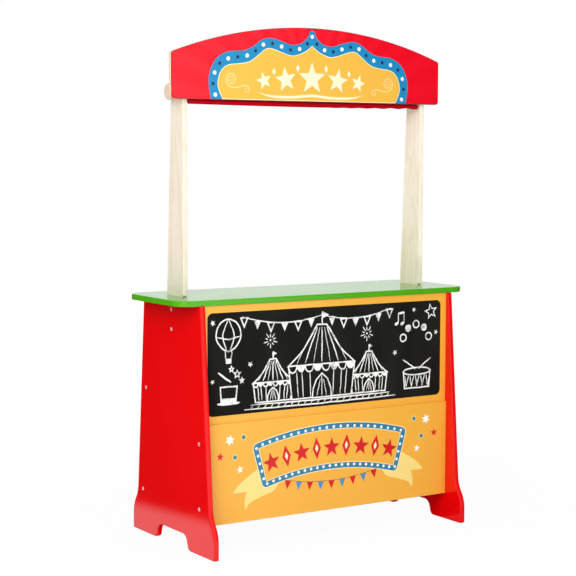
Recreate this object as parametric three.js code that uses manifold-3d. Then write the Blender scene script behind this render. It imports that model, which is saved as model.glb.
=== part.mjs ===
// Puppet theater stand for a child: a painted counter with a chalkboard front, two shelves behind it,
// and a stage opening above it whose curtain rolls up on a wooden rod behind the header.
// Millimetres, +Z up. The front faces -Y, and X runs from left to right as seen from the front.
// The origin is on the floor, midway between the side boards and midway between their toes.

import * as THREE from 'three';
import { mergeVertices } from 'three/addons/utils/BufferGeometryUtils.js';
import Module from 'manifold-3d';

const wasm = await Module();
wasm.setup();

// Shared sizes
const boardThickness = 12;
const boardEdgeRound = 2;
const edgeFacets = 2;
const fitGap = 0.3;
const cutOverrun = 1;
const facetAngle = Math.PI / 18;

// Side boards, seen from the side
const innerWidth = 606;
const sideHeight = 500;
const sideTopDepth = 240;
const sideTopRound = 6;
const kneeDepth = 305;
const kneeRound = 60;
const footDepth = 348;
const flareHeight = 50;
const kneeRise = 33;
const flareRound = 60;
const heelRound = 3;
const toeGap = 136;
const toeRound = 12;
const archWidth = 118;
const archHeight = 31;
const archRound = 18;

// Counter top, which overhangs the sides at its ends and stops just short of their front and back edges
const counterOverhang = 43;
const counterInset = 2;
const counterCornerRound = 36;
const counterEdgeRound = 1.2;

// Front: a thick lower board, and a thin chalkboard that slides down into grooves above it
const lowerFrontBottom = 57.5;
const lowerFrontHeight = 204.5;
const chalkboardThickness = 4;
const chalkboardBehindCentre = 1;
const grooveDepth = 4;
const panelEdgeRound = 1;

// Shelves
const bottomShelfRise = 35;
const middleShelfRise = 49;
const shelfBackInset = 3;

// Posts of the stage opening
const postThickness = 10;
const postFrontReach = 30;
const postBackReachLow = 40.5;
const postBackReachTop = 20.5;
const postTuck = 83;
const postLowerRound = 10;
const postTopRound = 4;
const postEdgeRound = 1.5;
const postSlotSlack = 5;
const postShoulderDepth = 7;
const postShoulderLift = 2.5;
const stageHeight = 398;
const postTopMargin = 11;

// Header board
const headerThickness = 10;
const headerOverhang = 31.5;
const headerSideHeight = 93;
const headerRise = 60;
const headerCornerRound = 7;
const headerArcSteps = 26;

// Curtain roller
const rodRadius = 7.5;
const rodRise = 15.5;
const knobRadius = 17;
const knobThickness = 18.5;
const knobBoreDepth = 11;
const knobRound = 4;
const knobRimRound = 1;
const knobFacets = 4;
const knobRunningGap = 1;
const roundSides = 24;

// Curtain cloth, wound on the rod, with a weighted hem that hangs off the front of the roll
const rollRadius = 24;
const rollHeaderGap = 5.3;
const curtainSideGap = 5.7;
const clothThickness = 1;
const rollRippleDepth = 0.9;
const rollRippleLength = 118;
const rollEndTaper = 1.2;
const rollEndTaperLength = 16;
const rollStations = 30;
const rollSides = 28;
const hemBarRadius = 3;
const hemBarInset = 3;
const hemClearance = 3;

// Wood screws: countersunk ones through the sides, pan head ones through the posts into the header
const screwShankRadius = 1.9;
const screwHeadRadius = 4;
const screwHeadDepth = 2.5;
const screwTipLength = 4;
const shelfScrewLength = 38;
const postScrewTipGap = 2;
const shelfScrewInset = 20;
const frontScrewInset = 36.5;
const postScrewDrop = 14.5;
const postScrewSpacing = 40.5;
const panHeadRadius = 3.8;
const panHeadDepth = 2.4;
const headerScrewBite = 7.4;
const headerScrewRise = 36;
const headerScrewSpacing = 26;
const screwSides = 12;

// Cam fittings and dowels between the counter and the sides, and dowels at the front of the shelves
const camRadius = 7.5;
const camWall = 3;
const camDrop = 24;
const camInset = 32;
const camSlotWidth = 1.6;
const camSlotDepth = 1.2;
const camBoltRadius = 2;
const camBoltHeadRadius = 3;
const camBoltHeadLength = 3;
const camBoltThreadRadius = 2.5;
const camBoltThreadLength = 8;
const camBoltTipLength = 1.5;
const dowelRadius = 3;
const dowelChamfer = 0.8;
const counterDowelLength = 25;
const counterDowelRise = 7;
const camToDowel = 38;
const shelfDowelLength = 28;
const shelfDowelBite = 8;
const shelfDowelInset = 40;

// Places that follow from the sizes above
const halfInner = innerWidth / 2;
const sideCentreX = halfInner + boardThickness / 2;
const kneeHeight = flareHeight + kneeRise;
const counterWidth = innerWidth + 2 * boardThickness + 2 * counterOverhang;
const counterDepth = sideTopDepth - 2 * counterInset;
const counterTop = sideHeight + boardThickness;
const headerBottom = counterTop + stageHeight;
const frontFaceY = -sideTopDepth / 2;
const frontCentreY = frontFaceY + boardThickness / 2;
const lowerFrontTop = lowerFrontBottom + lowerFrontHeight;
const chalkboardCentreY = frontCentreY + chalkboardBehindCentre;
const chalkboardFrontY = chalkboardCentreY - chalkboardThickness / 2;
const chalkboardBackY = chalkboardCentreY + chalkboardThickness / 2;
const bottomShelfHeight = lowerFrontBottom + bottomShelfRise;
const middleShelfHeight = lowerFrontTop + middleShelfRise;
const postCentreX = halfInner - fitGap - postThickness / 2;
const postInnerX = postCentreX - postThickness / 2;
const postOuterX = postCentreX + postThickness / 2;
const postBottom = sideHeight - postTuck;
const postTop = headerBottom + headerScrewRise + headerScrewSpacing + postTopMargin;
const headerBackY = -postFrontReach - fitGap;
const headerCentreY = headerBackY - headerThickness / 2;
const headerWidth = 2 * (postOuterX + headerOverhang);
const postScrewLength = boardThickness + postThickness - postScrewTipGap;
const headerScrewLength = postFrontReach + postBackReachTop + 2 * fitGap + headerScrewBite;
const rodHeight = headerBottom + rodRise;
const rodY = headerBackY + rollHeaderGap + rollRadius;
const boreRadius = rodRadius + fitGap;
const knobInnerX = postOuterX + knobRunningGap;
const rodHalfLength = knobInnerX + knobBoreDepth - fitGap;
const curtainWidth = 2 * (postInnerX - curtainSideGap);
const hemPocketRadius = hemBarRadius + fitGap + clothThickness;
const hemOffset = rollRadius + fitGap - clothThickness / 2;
const hemDrop = Math.sqrt((rollRadius + hemPocketRadius + hemClearance) ** 2 - hemOffset ** 2);
const hemY = rodY - hemOffset;
const hemHeight = rodHeight - hemDrop;
const camDepth = boardThickness - camWall;
const camOffset = sideTopDepth / 2 - camInset;
const counterDowelOffset = camOffset - camToDowel;

const axisX = new THREE.Vector3(1, 0, 0);
const axisY = new THREE.Vector3(0, 1, 0);
const axisZ = new THREE.Vector3(0, 0, 1);
const sidewaysBoard = new THREE.Matrix4().makeBasis(axisY, axisZ, axisX);
const frontalBoard = new THREE.Matrix4().makeBasis(axisX, axisZ, axisY.clone().negate());

const finishes = {
  redPaint: { color: 0xd1060c, roughness: 0.28, metalness: 0 },
  greenPaint: { color: 0x55b31c, roughness: 0.28, metalness: 0 },
  yellowPaint: { color: 0xf4b548, roughness: 0.32, metalness: 0 },
  headerPaint: { color: 0xf2233a, roughness: 0.4, metalness: 0 },
  chalkboardPaint: { color: 0x1b1b1b, roughness: 0.85, metalness: 0 },
  paleWood: { color: 0xe6d5ae, roughness: 0.6, metalness: 0 },
  redCloth: { color: 0x9c0717, roughness: 0.95, metalness: 0 },
  zinc: { color: 0xc9ccd0, roughness: 0.35, metalness: 0.9 },
};

// A closed outline with each corner [across, up, radius] rounded by an arc, which takes half an edge at most
function roundedOutline(corners) {
  const cornerAt = (i) => new THREE.Vector2(...corners[(i + corners.length) % corners.length]);
  return corners.flatMap(([, , radius], i) => {
    const corner = cornerAt(i);
    if (radius === 0) {
      return [corner];
    }
    const toBefore = cornerAt(i - 1).sub(corner);
    const toAfter = cornerAt(i + 1).sub(corner);
    const longest = Math.min(toBefore.length(), toAfter.length()) / 2;
    toBefore.normalize();
    toAfter.normalize();
    const half = Math.acos(toBefore.dot(toAfter)) / 2;
    const reach = Math.min(radius / Math.tan(half), longest);
    const inward = toBefore.clone().add(toAfter).normalize();
    const centre = corner.clone().addScaledVector(inward, reach / Math.cos(half));
    const start = corner.clone().addScaledVector(toBefore, reach).sub(centre);
    const sweep = Math.sign(toBefore.cross(toAfter)) * -(Math.PI - 2 * half);
    const steps = Math.max(2, Math.ceil(Math.abs(sweep) / facetAngle));
    return Array.from({ length: steps + 1 }, (_, step) =>
      start.clone().rotateAround(new THREE.Vector2(), (sweep * step) / steps).add(centre));
  });
}

// A board cut to an outline, with its long edges rounded over, centred on its mid plane
function board(outline, thickness, edgeRound) {
  const geometry = new THREE.ExtrudeGeometry(new THREE.Shape(outline), {
    depth: thickness - 2 * edgeRound,
    bevelEnabled: edgeRound > 0,
    bevelThickness: edgeRound,
    bevelSize: edgeRound,
    bevelOffset: -edgeRound,
    bevelSegments: edgeFacets,
    steps: 1,
  });
  return geometry.translate(0, 0, edgeRound - thickness / 2);
}

// A turned piece from a profile of [radius, distance] that starts and ends on its axis, along a direction
function turned(profile, direction, sides) {
  const points = profile.map(([radius, along]) => new THREE.Vector2(radius, along));
  const geometry = new THREE.LatheGeometry(points, sides);
  return geometry.applyQuaternion(new THREE.Quaternion().setFromUnitVectors(axisY, direction));
}

function peg(radius, from, to, direction, sides) {
  return turned([[0, from], [radius, from], [radius, to], [0, to]], direction, sides);
}

function block(x0, x1, y0, y1, z0, z1) {
  const geometry = new THREE.BoxGeometry(x1 - x0, y1 - y0, z1 - z0);
  return geometry.translate((x0 + x1) / 2, (y0 + y1) / 2, (z0 + z1) / 2);
}

// Rings of the same number of points, skinned one to the next and from the last back to the first
function ringSkin(rings) {
  const sides = rings[0].length;
  const positions = rings.flat().flatMap((point) => [point.x, point.y, point.z]);
  const index = [];
  rings.forEach((_, ring) => {
    const next = (ring + 1) % rings.length;
    for (let side = 0; side < sides; side += 1) {
      const after = (side + 1) % sides;
      const a = ring * sides + side;
      const b = ring * sides + after;
      const c = next * sides + after;
      const d = next * sides + side;
      index.push(a, b, c, a, c, d);
    }
  });
  const geometry = new THREE.BufferGeometry();
  geometry.setAttribute('position', new THREE.BufferAttribute(new Float32Array(positions), 3));
  geometry.setIndex(index);
  return geometry;
}

function toSolid(geometry) {
  const bare = geometry.clone();
  bare.deleteAttribute('normal');
  bare.deleteAttribute('uv');
  const merged = mergeVertices(bare);
  const index = merged.index.array;
  const triangles = [];
  for (let i = 0; i < index.length; i += 3) {
    const [a, b, c] = index.subarray(i, i + 3);
    if (a !== b && b !== c && c !== a) {
      triangles.push(a, b, c);
    }
  }
  return new wasm.Manifold(new wasm.Mesh({
    numProp: 3,
    vertProperties: new Float32Array(merged.attributes.position.array),
    triVerts: new Uint32Array(triangles),
  }));
}

function toGeometry(solid) {
  const { vertProperties, triVerts } = solid.getMesh();
  const geometry = new THREE.BufferGeometry();
  geometry.setAttribute('position', new THREE.BufferAttribute(vertProperties, 3));
  geometry.setIndex(new THREE.BufferAttribute(triVerts, 1));
  geometry.computeVertexNormals();
  return geometry;
}

// Adds a piece at its place, after cutting it with tools that are given where they stand in the whole stand
function addPiece(parent, name, geometry, finish, place, tools = []) {
  let solid = toSolid(geometry);
  for (const tool of tools) {
    const local = tool.clone().translate(-place.x, -place.y, -place.z);
    solid = solid.subtract(toSolid(local));
  }
  const mesh = new THREE.Mesh(toGeometry(solid), new THREE.MeshStandardMaterial(finishes[finish]));
  mesh.name = name;
  mesh.position.copy(place);
  parent.add(mesh);
}

function at(x, y, z) {
  return new THREE.Vector3(x, y, z);
}

const hands = [
  { side: 'left', sign: -1 },
  { side: 'right', sign: 1 },
];

// Half the depth of a side board on its straight taper, at a height above the knee
function halfDepthAt(height) {
  const share = (sideHeight - height) / (sideHeight - kneeHeight);
  return (sideTopDepth + (kneeDepth - sideTopDepth) * share) / 2;
}

// Shelf edges: the front one stands behind the front boards, the back one just inside the sides
const shelves = [
  { name: 'bottom_shelf', height: bottomShelfHeight, front: frontFaceY + boardThickness + fitGap },
  { name: 'middle_shelf', height: middleShelfHeight, front: chalkboardBackY + fitGap },
].map((shelf) => ({ ...shelf, back: halfDepthAt(shelf.height) - shelfBackInset }));

// Every screw through a side board: its place, its length and the piece that it holds
const sideScrews = [
  { name: 'post_upper_screw', y: 0, z: sideHeight - postScrewDrop, length: postScrewLength, holds: 'post' },
  {
    name: 'post_lower_screw',
    y: 0,
    z: sideHeight - postScrewDrop - postScrewSpacing,
    length: postScrewLength,
    holds: 'post',
  },
  ...shelves.map((shelf) => ({
    name: `${shelf.name}_screw`,
    y: shelf.back - shelfScrewInset,
    z: shelf.height,
    length: shelfScrewLength,
    holds: shelf.name,
  })),
  {
    name: 'front_upper_screw',
    y: frontCentreY,
    z: lowerFrontTop - frontScrewInset,
    length: shelfScrewLength,
    holds: 'front',
  },
  {
    name: 'front_lower_screw',
    y: frontCentreY,
    z: lowerFrontBottom + frontScrewInset,
    length: shelfScrewLength,
    holds: 'front',
  },
];

function sideScrewPlace(screw, sign) {
  return at(sign * (halfInner + boardThickness), screw.y, screw.z);
}

function countersunkScrew(length, direction) {
  return turned([
    [0, 0],
    [screwHeadRadius, 0],
    [screwShankRadius, screwHeadDepth],
    [screwShankRadius, length - screwTipLength],
    [0, length],
  ], direction, screwSides);
}

function countersunkHole(screw, sign) {
  const hole = turned([
    [0, -cutOverrun],
    [screwHeadRadius + fitGap, -cutOverrun],
    [screwHeadRadius + fitGap, fitGap],
    [screwShankRadius + fitGap, screwHeadDepth + fitGap],
    [screwShankRadius + fitGap, screw.length + fitGap],
    [0, screw.length + fitGap],
  ], axisX.clone().multiplyScalar(-sign), screwSides);
  const place = sideScrewPlace(screw, sign);
  return hole.translate(place.x, place.y, place.z);
}

function screwHolesFor(piece) {
  const held = sideScrews.filter((screw) => screw.holds === piece);
  return hands.flatMap(({ sign }) => held.map((screw) => countersunkHole(screw, sign)));
}

// Dowels: along X into the shelf ends, along Z into the counter
const shelfDowels = shelves.flatMap((shelf) => hands.map(({ side, sign }) => ({
  name: `${shelf.name}_dowel_${side}`,
  place: at(sign * (halfInner + shelfDowelBite), shelf.front + shelfDowelInset, shelf.height),
  direction: axisX.clone().multiplyScalar(-sign),
  length: shelfDowelLength,
})));

const counterDowels = hands.flatMap(({ side, sign }) => ['front', 'back'].map((end) => ({
  name: `counter_dowel_${side}_${end}`,
  place: at(sign * sideCentreX, end === 'front' ? -counterDowelOffset : counterDowelOffset,
    sideHeight + counterDowelRise - counterDowelLength),
  direction: axisZ,
  length: counterDowelLength,
})));

function dowel({ direction, length }) {
  return turned([
    [0, 0],
    [dowelRadius - dowelChamfer, 0],
    [dowelRadius, dowelChamfer],
    [dowelRadius, length - dowelChamfer],
    [dowelRadius - dowelChamfer, length],
    [0, length],
  ], direction, screwSides);
}

function dowelHole({ place, direction, length }) {
  const hole = peg(dowelRadius + fitGap, -fitGap, length + fitGap, direction, screwSides);
  return hole.translate(place.x, place.y, place.z);
}

// Cam fittings: a bolt that hangs from the counter, and a cam in the side's inner face that grips its head
const cams = hands.flatMap(({ side, sign }) => ['front', 'back'].map((end) => ({
  name: `${side}_${end}`,
  sign,
  y: end === 'front' ? -camOffset : camOffset,
  z: sideHeight - camDrop,
})));

function camPocket(cam, radius, depth, back) {
  const pocket = peg(radius, -back, depth, axisX.clone().multiplyScalar(cam.sign), roundSides);
  return pocket.translate(cam.sign * halfInner, cam.y, cam.z);
}

function camBoltHole(cam) {
  const bottom = cam.z - camBoltHeadLength / 2 - fitGap;
  const top = sideHeight + camBoltThreadLength + fitGap;
  const hole = peg(camBoltHeadRadius + fitGap, bottom, top, axisZ, screwSides);
  return hole.translate(cam.sign * sideCentreX, cam.y, 0);
}

function camBolt() {
  const shankTop = camDrop + camBoltHeadLength / 2;
  const threadTop = shankTop + camBoltThreadLength;
  return turned([
    [0, 0],
    [camBoltHeadRadius, 0],
    [camBoltHeadRadius, camBoltHeadLength],
    [camBoltRadius, camBoltHeadLength],
    [camBoltRadius, shankTop],
    [camBoltThreadRadius, shankTop],
    [camBoltThreadRadius, threadTop - camBoltTipLength],
    [0, threadTop],
  ], axisZ, screwSides);
}

// Cutters for the slot that each post passes through and for the grooves that hold the chalkboard
function postSlot(sign) {
  const near = postInnerX - fitGap;
  const far = postInnerX + postThickness + fitGap;
  return block(
    sign > 0 ? near : -far,
    sign > 0 ? far : -near,
    -postFrontReach - postSlotSlack,
    postBackReachLow + fitGap,
    sideHeight - cutOverrun,
    counterTop + cutOverrun,
  );
}

const grooveSpan = {
  front: chalkboardFrontY - fitGap,
  back: chalkboardBackY + fitGap,
  bottom: lowerFrontTop - grooveDepth,
  top: sideHeight + grooveDepth,
  half: halfInner + grooveDepth,
};
const chalkboardGroove = block(
  -grooveSpan.half,
  grooveSpan.half,
  grooveSpan.front,
  grooveSpan.back,
  grooveSpan.bottom,
  grooveSpan.top,
);

function sideBoard() {
  const top = sideHeight + boardEdgeRound;
  const half = [
    [sideTopDepth / 2, top, sideTopRound],
    [kneeDepth / 2, kneeHeight, kneeRound],
    [footDepth / 2, flareHeight, flareRound],
    [footDepth / 2, 0, heelRound],
    [toeGap / 2, 0, toeRound],
    [archWidth / 2, archHeight, archRound],
  ];
  const mirrored = half.map(([y, z, radius]) => [-y, z, radius]).reverse();
  return board(roundedOutline([...half, ...mirrored].reverse()), boardThickness, boardEdgeRound)
    .applyMatrix4(sidewaysBoard);
}

function sideBoardTools(sign) {
  const edgeTrim = block(
    sign * sideCentreX - boardThickness,
    sign * sideCentreX + boardThickness,
    -footDepth,
    footDepth,
    sideHeight,
    sideHeight + boardThickness,
  );
  return [
    edgeTrim,
    chalkboardGroove,
    ...sideScrews.map((screw) => countersunkHole(screw, sign)),
    ...shelfDowels.map(dowelHole),
    ...counterDowels.map(dowelHole),
    ...cams.map((cam) => camPocket(cam, camRadius + fitGap, camDepth + fitGap, cutOverrun)),
    ...cams.map(camBoltHole),
  ];
}

function addBase(parent) {
  for (const { side, sign } of hands) {
    addPiece(parent, `side_board_${side}`, sideBoard(), 'redPaint', at(sign * sideCentreX, 0, 0),
      sideBoardTools(sign));
  }

  const halfWidth = counterWidth / 2;
  const halfDepth = counterDepth / 2;
  const counterThickness = boardThickness - fitGap;
  const counter = board(roundedOutline([
    [-halfWidth, -halfDepth, counterCornerRound],
    [halfWidth, -halfDepth, counterCornerRound],
    [halfWidth, halfDepth, counterCornerRound],
    [-halfWidth, halfDepth, counterCornerRound],
  ]), counterThickness, counterEdgeRound);
  addPiece(parent, 'counter_top', counter, 'greenPaint', at(0, 0, counterTop - counterThickness / 2), [
    chalkboardGroove,
    ...hands.map(({ sign }) => postSlot(sign)),
    ...counterDowels.map(dowelHole),
    ...cams.map(camBoltHole),
  ]);

  const frontHalf = halfInner - fitGap;
  const lowerFront = board(roundedOutline([
    [-frontHalf, 0, 0],
    [frontHalf, 0, 0],
    [frontHalf, lowerFrontHeight, 0],
    [-frontHalf, lowerFrontHeight, 0],
  ]), boardThickness, panelEdgeRound).applyMatrix4(frontalBoard);
  addPiece(parent, 'lower_front_board', lowerFront, 'yellowPaint', at(0, frontCentreY, lowerFrontBottom),
    [chalkboardGroove, ...screwHolesFor('front')]);

  const chalkboard = block(
    -grooveSpan.half + fitGap,
    grooveSpan.half - fitGap,
    -chalkboardThickness / 2,
    chalkboardThickness / 2,
    0,
    grooveSpan.top - grooveSpan.bottom - 2 * fitGap,
  );
  addPiece(parent, 'chalkboard_panel', chalkboard, 'chalkboardPaint',
    at(0, chalkboardCentreY, grooveSpan.bottom + fitGap));

  for (const shelf of shelves) {
    const outline = roundedOutline([
      [-frontHalf, shelf.front, 0],
      [frontHalf, shelf.front, 0],
      [frontHalf, shelf.back, 0],
      [-frontHalf, shelf.back, 0],
    ]);
    addPiece(parent, shelf.name, board(outline, boardThickness, panelEdgeRound), 'yellowPaint',
      at(0, 0, shelf.height), [...screwHolesFor(shelf.name), ...shelfDowels.map(dowelHole)]);
  }
}

function addFasteners(parent) {
  for (const { side, sign } of hands) {
    const inward = axisX.clone().multiplyScalar(-sign);
    for (const screw of sideScrews) {
      addPiece(parent, `${screw.name}_${side}`, countersunkScrew(screw.length, inward), 'zinc',
        sideScrewPlace(screw, sign));
    }
  }
  for (const pin of [...shelfDowels, ...counterDowels]) {
    addPiece(parent, pin.name, dowel(pin), 'paleWood', pin.place);
  }
  for (const cam of cams) {
    const body = peg(camRadius, 0, camDepth, axisX.clone().multiplyScalar(cam.sign), roundSides);
    const place = at(cam.sign * halfInner, cam.y, cam.z);
    const slotDepth = cam.sign * camSlotDepth;
    const slot = block(
      Math.min(-slotDepth, slotDepth),
      Math.max(-slotDepth, slotDepth),
      -camSlotWidth / 2,
      camSlotWidth / 2,
      -camRadius / 2,
      camRadius / 2,
    ).translate(place.x, place.y, place.z);
    addPiece(parent, `cam_lock_${cam.name}`, body, 'zinc', place, [camBoltHole(cam), slot]);
    addPiece(parent, `cam_bolt_${cam.name}`, camBolt(), 'zinc',
      at(cam.sign * sideCentreX, cam.y, cam.z - camBoltHeadLength / 2));
  }
}

// Header screws enter the back edge of each post, run through its depth and bite into the header board
const headerScrews = hands.flatMap(({ side, sign }) => ['lower', 'upper'].map((level) => ({
  name: `header_screw_${level}_${side}`,
  place: at(sign * postCentreX, postBackReachTop + fitGap,
    headerBottom + headerScrewRise + (level === 'upper' ? headerScrewSpacing : 0)),
})));

function headerScrew() {
  return turned([
    [0, -panHeadDepth],
    [panHeadRadius * Math.SQRT1_2, -panHeadDepth],
    [panHeadRadius, -panHeadDepth / 2],
    [panHeadRadius, 0],
    [screwShankRadius, 0],
    [screwShankRadius, headerScrewLength - screwTipLength],
    [0, headerScrewLength],
  ], axisY.clone().negate(), screwSides);
}

function headerScrewHole({ place }) {
  const hole = peg(screwShankRadius + fitGap, -cutOverrun, headerScrewLength + fitGap,
    axisY.clone().negate(), screwSides);
  return hole.translate(place.x, place.y, place.z);
}

function rodHole() {
  const half = halfInner + boardThickness;
  return peg(boreRadius, -half, half, axisX, roundSides).translate(0, rodY, rodHeight);
}

// A post steps back a little at its front where it passes through the counter
function post() {
  const shoulderY = postShoulderDepth - postFrontReach;
  const shoulderRise = counterTop + postShoulderLift - postBottom;
  return board(roundedOutline([
    [shoulderY, 0, postLowerRound],
    [postBackReachLow, 0, postLowerRound],
    [postBackReachLow, counterTop - postBottom, 0],
    [postBackReachTop, headerBottom - postBottom, 0],
    [postBackReachTop, postTop - postBottom, postTopRound],
    [-postFrontReach, postTop - postBottom, postTopRound],
    [-postFrontReach, shoulderRise, 0],
    [shoulderY, shoulderRise, 0],
  ]), postThickness, postEdgeRound).applyMatrix4(sidewaysBoard);
}

// The header's top edge is one arc through its two upper corners and its crown
function headerBoard() {
  const half = headerWidth / 2;
  const arcRadius = (half ** 2 + headerRise ** 2) / (2 * headerRise);
  const arcCentre = headerSideHeight + headerRise - arcRadius;
  const arcHalfAngle = Math.asin(half / arcRadius);
  const arc = Array.from({ length: headerArcSteps - 1 }, (_, i) => {
    const angle = arcHalfAngle * (1 - (2 * (i + 1)) / headerArcSteps);
    return [arcRadius * Math.sin(angle), arcCentre + arcRadius * Math.cos(angle), 0];
  });
  return board(roundedOutline([
    [-half, 0, headerCornerRound],
    [half, 0, headerCornerRound],
    [half, headerSideHeight, headerCornerRound],
    ...arc,
    [-half, headerSideHeight, headerCornerRound],
  ]), headerThickness, panelEdgeRound).applyMatrix4(frontalBoard);
}

function addStage(parent) {
  for (const { side, sign } of hands) {
    addPiece(parent, `post_${side}`, post(), 'paleWood', at(sign * postCentreX, 0, postBottom),
      [rodHole(), ...headerScrews.map(headerScrewHole), ...screwHolesFor('post')]);
  }
  addPiece(parent, 'header_board', headerBoard(), 'headerPaint', at(0, headerCentreY, headerBottom),
    headerScrews.map(headerScrewHole));
  for (const screw of headerScrews) {
    addPiece(parent, screw.name, headerScrew(), 'zinc', screw.place);
  }
}

// The wound cloth is a little uneven along its width and narrows at its two ends
function rollRadiusAt(x) {
  const ripple = (rollRippleDepth * (1 + Math.sin((2 * Math.PI * x) / rollRippleLength))) / 2;
  const toEnd = curtainWidth / 2 - Math.abs(x);
  return rollRadius - ripple - rollEndTaper * Math.exp(-toEnd / rollEndTaperLength);
}

function curtainStations() {
  return Array.from({ length: rollStations + 1 }, (_, i) => curtainWidth * (i / rollStations - 1 / 2));
}

// The outer layer spirals out by the cloth's thickness in one turn, which makes a step at the front
function curtainRoll() {
  const ringAt = (x, radiusAt) => Array.from({ length: rollSides }, (_, side) => {
    const share = side / (rollSides - 1);
    const angle = share * 2 * Math.PI - Math.PI;
    const radius = radiusAt(share);
    return at(x, radius * Math.cos(angle), radius * Math.sin(angle));
  });
  const outer = curtainStations().map((x) => ringAt(x, (share) => rollRadiusAt(x) + (share - 1) * clothThickness));
  const inner = [curtainWidth / 2, -curtainWidth / 2].map((x) =>
    Array.from({ length: rollSides }, (_, side) => {
      const angle = (side / rollSides) * 2 * Math.PI - Math.PI;
      return at(x, boreRadius * Math.cos(angle), boreRadius * Math.sin(angle));
    }));
  return ringSkin([...outer, ...inner]);
}

// The short length of cloth between the roll and the hem, in step with the roll's unevenness
function curtainDrop() {
  const line = (offset) => curtainStations().map((x) => new THREE.Vector2(x, -rollRadiusAt(x) - offset));
  const outline = [...line(fitGap), ...line(fitGap - clothThickness).reverse()];
  const height = hemDrop - hemPocketRadius - 2 * fitGap;
  return board(outline, height, 0).translate(0, 0, -height / 2 - fitGap);
}

function hemPocket() {
  const shape = new THREE.Shape().absarc(0, 0, hemPocketRadius, 0, 2 * Math.PI, false);
  shape.holes.push(new THREE.Path().absarc(0, 0, hemBarRadius + fitGap, 0, 2 * Math.PI, true));
  const geometry = new THREE.ExtrudeGeometry(shape, {
    depth: curtainWidth,
    bevelEnabled: false,
    curveSegments: rollSides / 2,
  });
  return geometry.translate(0, 0, -curtainWidth / 2).applyMatrix4(sidewaysBoard);
}

function knob(sign) {
  const rounding = Array.from({ length: knobFacets + 1 }, (_, i) => {
    const angle = (i / knobFacets) * (Math.PI / 2);
    return [
      knobRadius - knobRound + knobRound * Math.cos(angle),
      knobThickness - knobRound + knobRound * Math.sin(angle),
    ];
  });
  return turned([
    [0, knobBoreDepth],
    [boreRadius, knobBoreDepth],
    [boreRadius, 0],
    [knobRadius - knobRimRound, 0],
    [knobRadius, knobRimRound],
    ...rounding,
    [0, knobThickness],
  ], axisX.clone().multiplyScalar(sign), roundSides);
}

function addCurtain(parent) {
  const rodPlace = at(0, rodY, rodHeight);
  const rod = peg(rodRadius, -rodHalfLength, rodHalfLength, axisX, roundSides);
  addPiece(parent, 'curtain_rod', rod, 'paleWood', rodPlace);
  for (const { side, sign } of hands) {
    addPiece(parent, `rod_knob_${side}`, knob(sign), 'paleWood', at(sign * knobInnerX, rodY, rodHeight));
  }
  addPiece(parent, 'curtain_roll', curtainRoll(), 'redCloth', rodPlace);
  addPiece(parent, 'curtain_drop', curtainDrop(), 'redCloth', rodPlace);
  addPiece(parent, 'curtain_hem', hemPocket(), 'redCloth', at(0, hemY, hemHeight));
  const barHalf = curtainWidth / 2 - hemBarInset;
  addPiece(parent, 'hem_bar', peg(hemBarRadius, -barHalf, barHalf, axisX, screwSides), 'paleWood',
    at(0, hemY, hemHeight));
}

const group = new THREE.Group();
addBase(group);
addFasteners(group);
addStage(group);
addCurtain(group);

export default group;
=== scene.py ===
"""Puppet theater stand: the looks of its boards, prints, posts, roller, curtain and fasteners.

The file is laid out as an add-on. Run as a script, it builds every piece around the fixed frame,
in metres, with the painted front towards -Y and the floor at height 0.
"""

import math
import random

import bmesh
import bpy
from bpy.props import FloatProperty, FloatVectorProperty, IntProperty, PointerProperty
from mathutils import Matrix, Vector, noise
from mathutils.geometry import delaunay_2d_cdt


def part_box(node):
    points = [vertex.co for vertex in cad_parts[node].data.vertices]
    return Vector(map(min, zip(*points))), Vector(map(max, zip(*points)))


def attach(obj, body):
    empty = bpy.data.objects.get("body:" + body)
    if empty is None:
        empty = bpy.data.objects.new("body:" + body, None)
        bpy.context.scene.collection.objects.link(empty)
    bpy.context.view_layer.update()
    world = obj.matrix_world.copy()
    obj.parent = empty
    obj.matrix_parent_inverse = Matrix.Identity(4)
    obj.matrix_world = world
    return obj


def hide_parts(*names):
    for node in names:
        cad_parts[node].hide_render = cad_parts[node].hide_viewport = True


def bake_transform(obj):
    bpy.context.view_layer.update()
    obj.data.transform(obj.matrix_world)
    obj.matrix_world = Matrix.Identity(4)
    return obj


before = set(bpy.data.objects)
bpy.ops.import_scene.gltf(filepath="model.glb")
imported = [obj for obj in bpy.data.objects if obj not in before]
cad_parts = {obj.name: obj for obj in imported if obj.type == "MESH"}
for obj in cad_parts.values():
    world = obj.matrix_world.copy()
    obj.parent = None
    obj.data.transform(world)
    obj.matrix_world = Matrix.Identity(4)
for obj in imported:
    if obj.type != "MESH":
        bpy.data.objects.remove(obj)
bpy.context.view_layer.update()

bl_info = {
    "name": "Puppet Theater Stand",
    "version": (1, 0, 0),
    "blender": (4, 5, 0),
    "location": "3D View > Sidebar > Stand",
    "description": "Builds a painted puppet theater stand with a roll-up curtain",
    "category": "Add Mesh",
}

HANDS = (("left", -1), ("right", 1))
ENDS = ("front", "back")
SHELVES = ("bottom_shelf", "middle_shelf")
# Stand up a board that is drawn flat: a side facing +X, a front facing -Y, a shelf facing +Z
STANDING = (Matrix(((0, 0, 1, 0), (1, 0, 0, 0), (0, 1, 0, 0), (0, 0, 0, 1))),
            Matrix(((1, 0, 0, 0), (0, 0, -1, 0), (0, 1, 0, 0), (0, 0, 0, 1))),
            Matrix())
WHITE = (1, 1, 1, 1)


def linear(code):
    """A colour written as 0xRRGGBB, as the linear values that shaders use."""
    shares = [(code >> shift & 255) / 255 for shift in (16, 8, 0)]
    return tuple(s / 12.92 if s <= 0.04045 else ((s + 0.055) / 1.055) ** 2.4 for s in shares)


def length(name, description, default):
    return FloatProperty(name=name, description=description, default=default, min=0.0,
                         precision=4, subtype="DISTANCE", unit="LENGTH")


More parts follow.
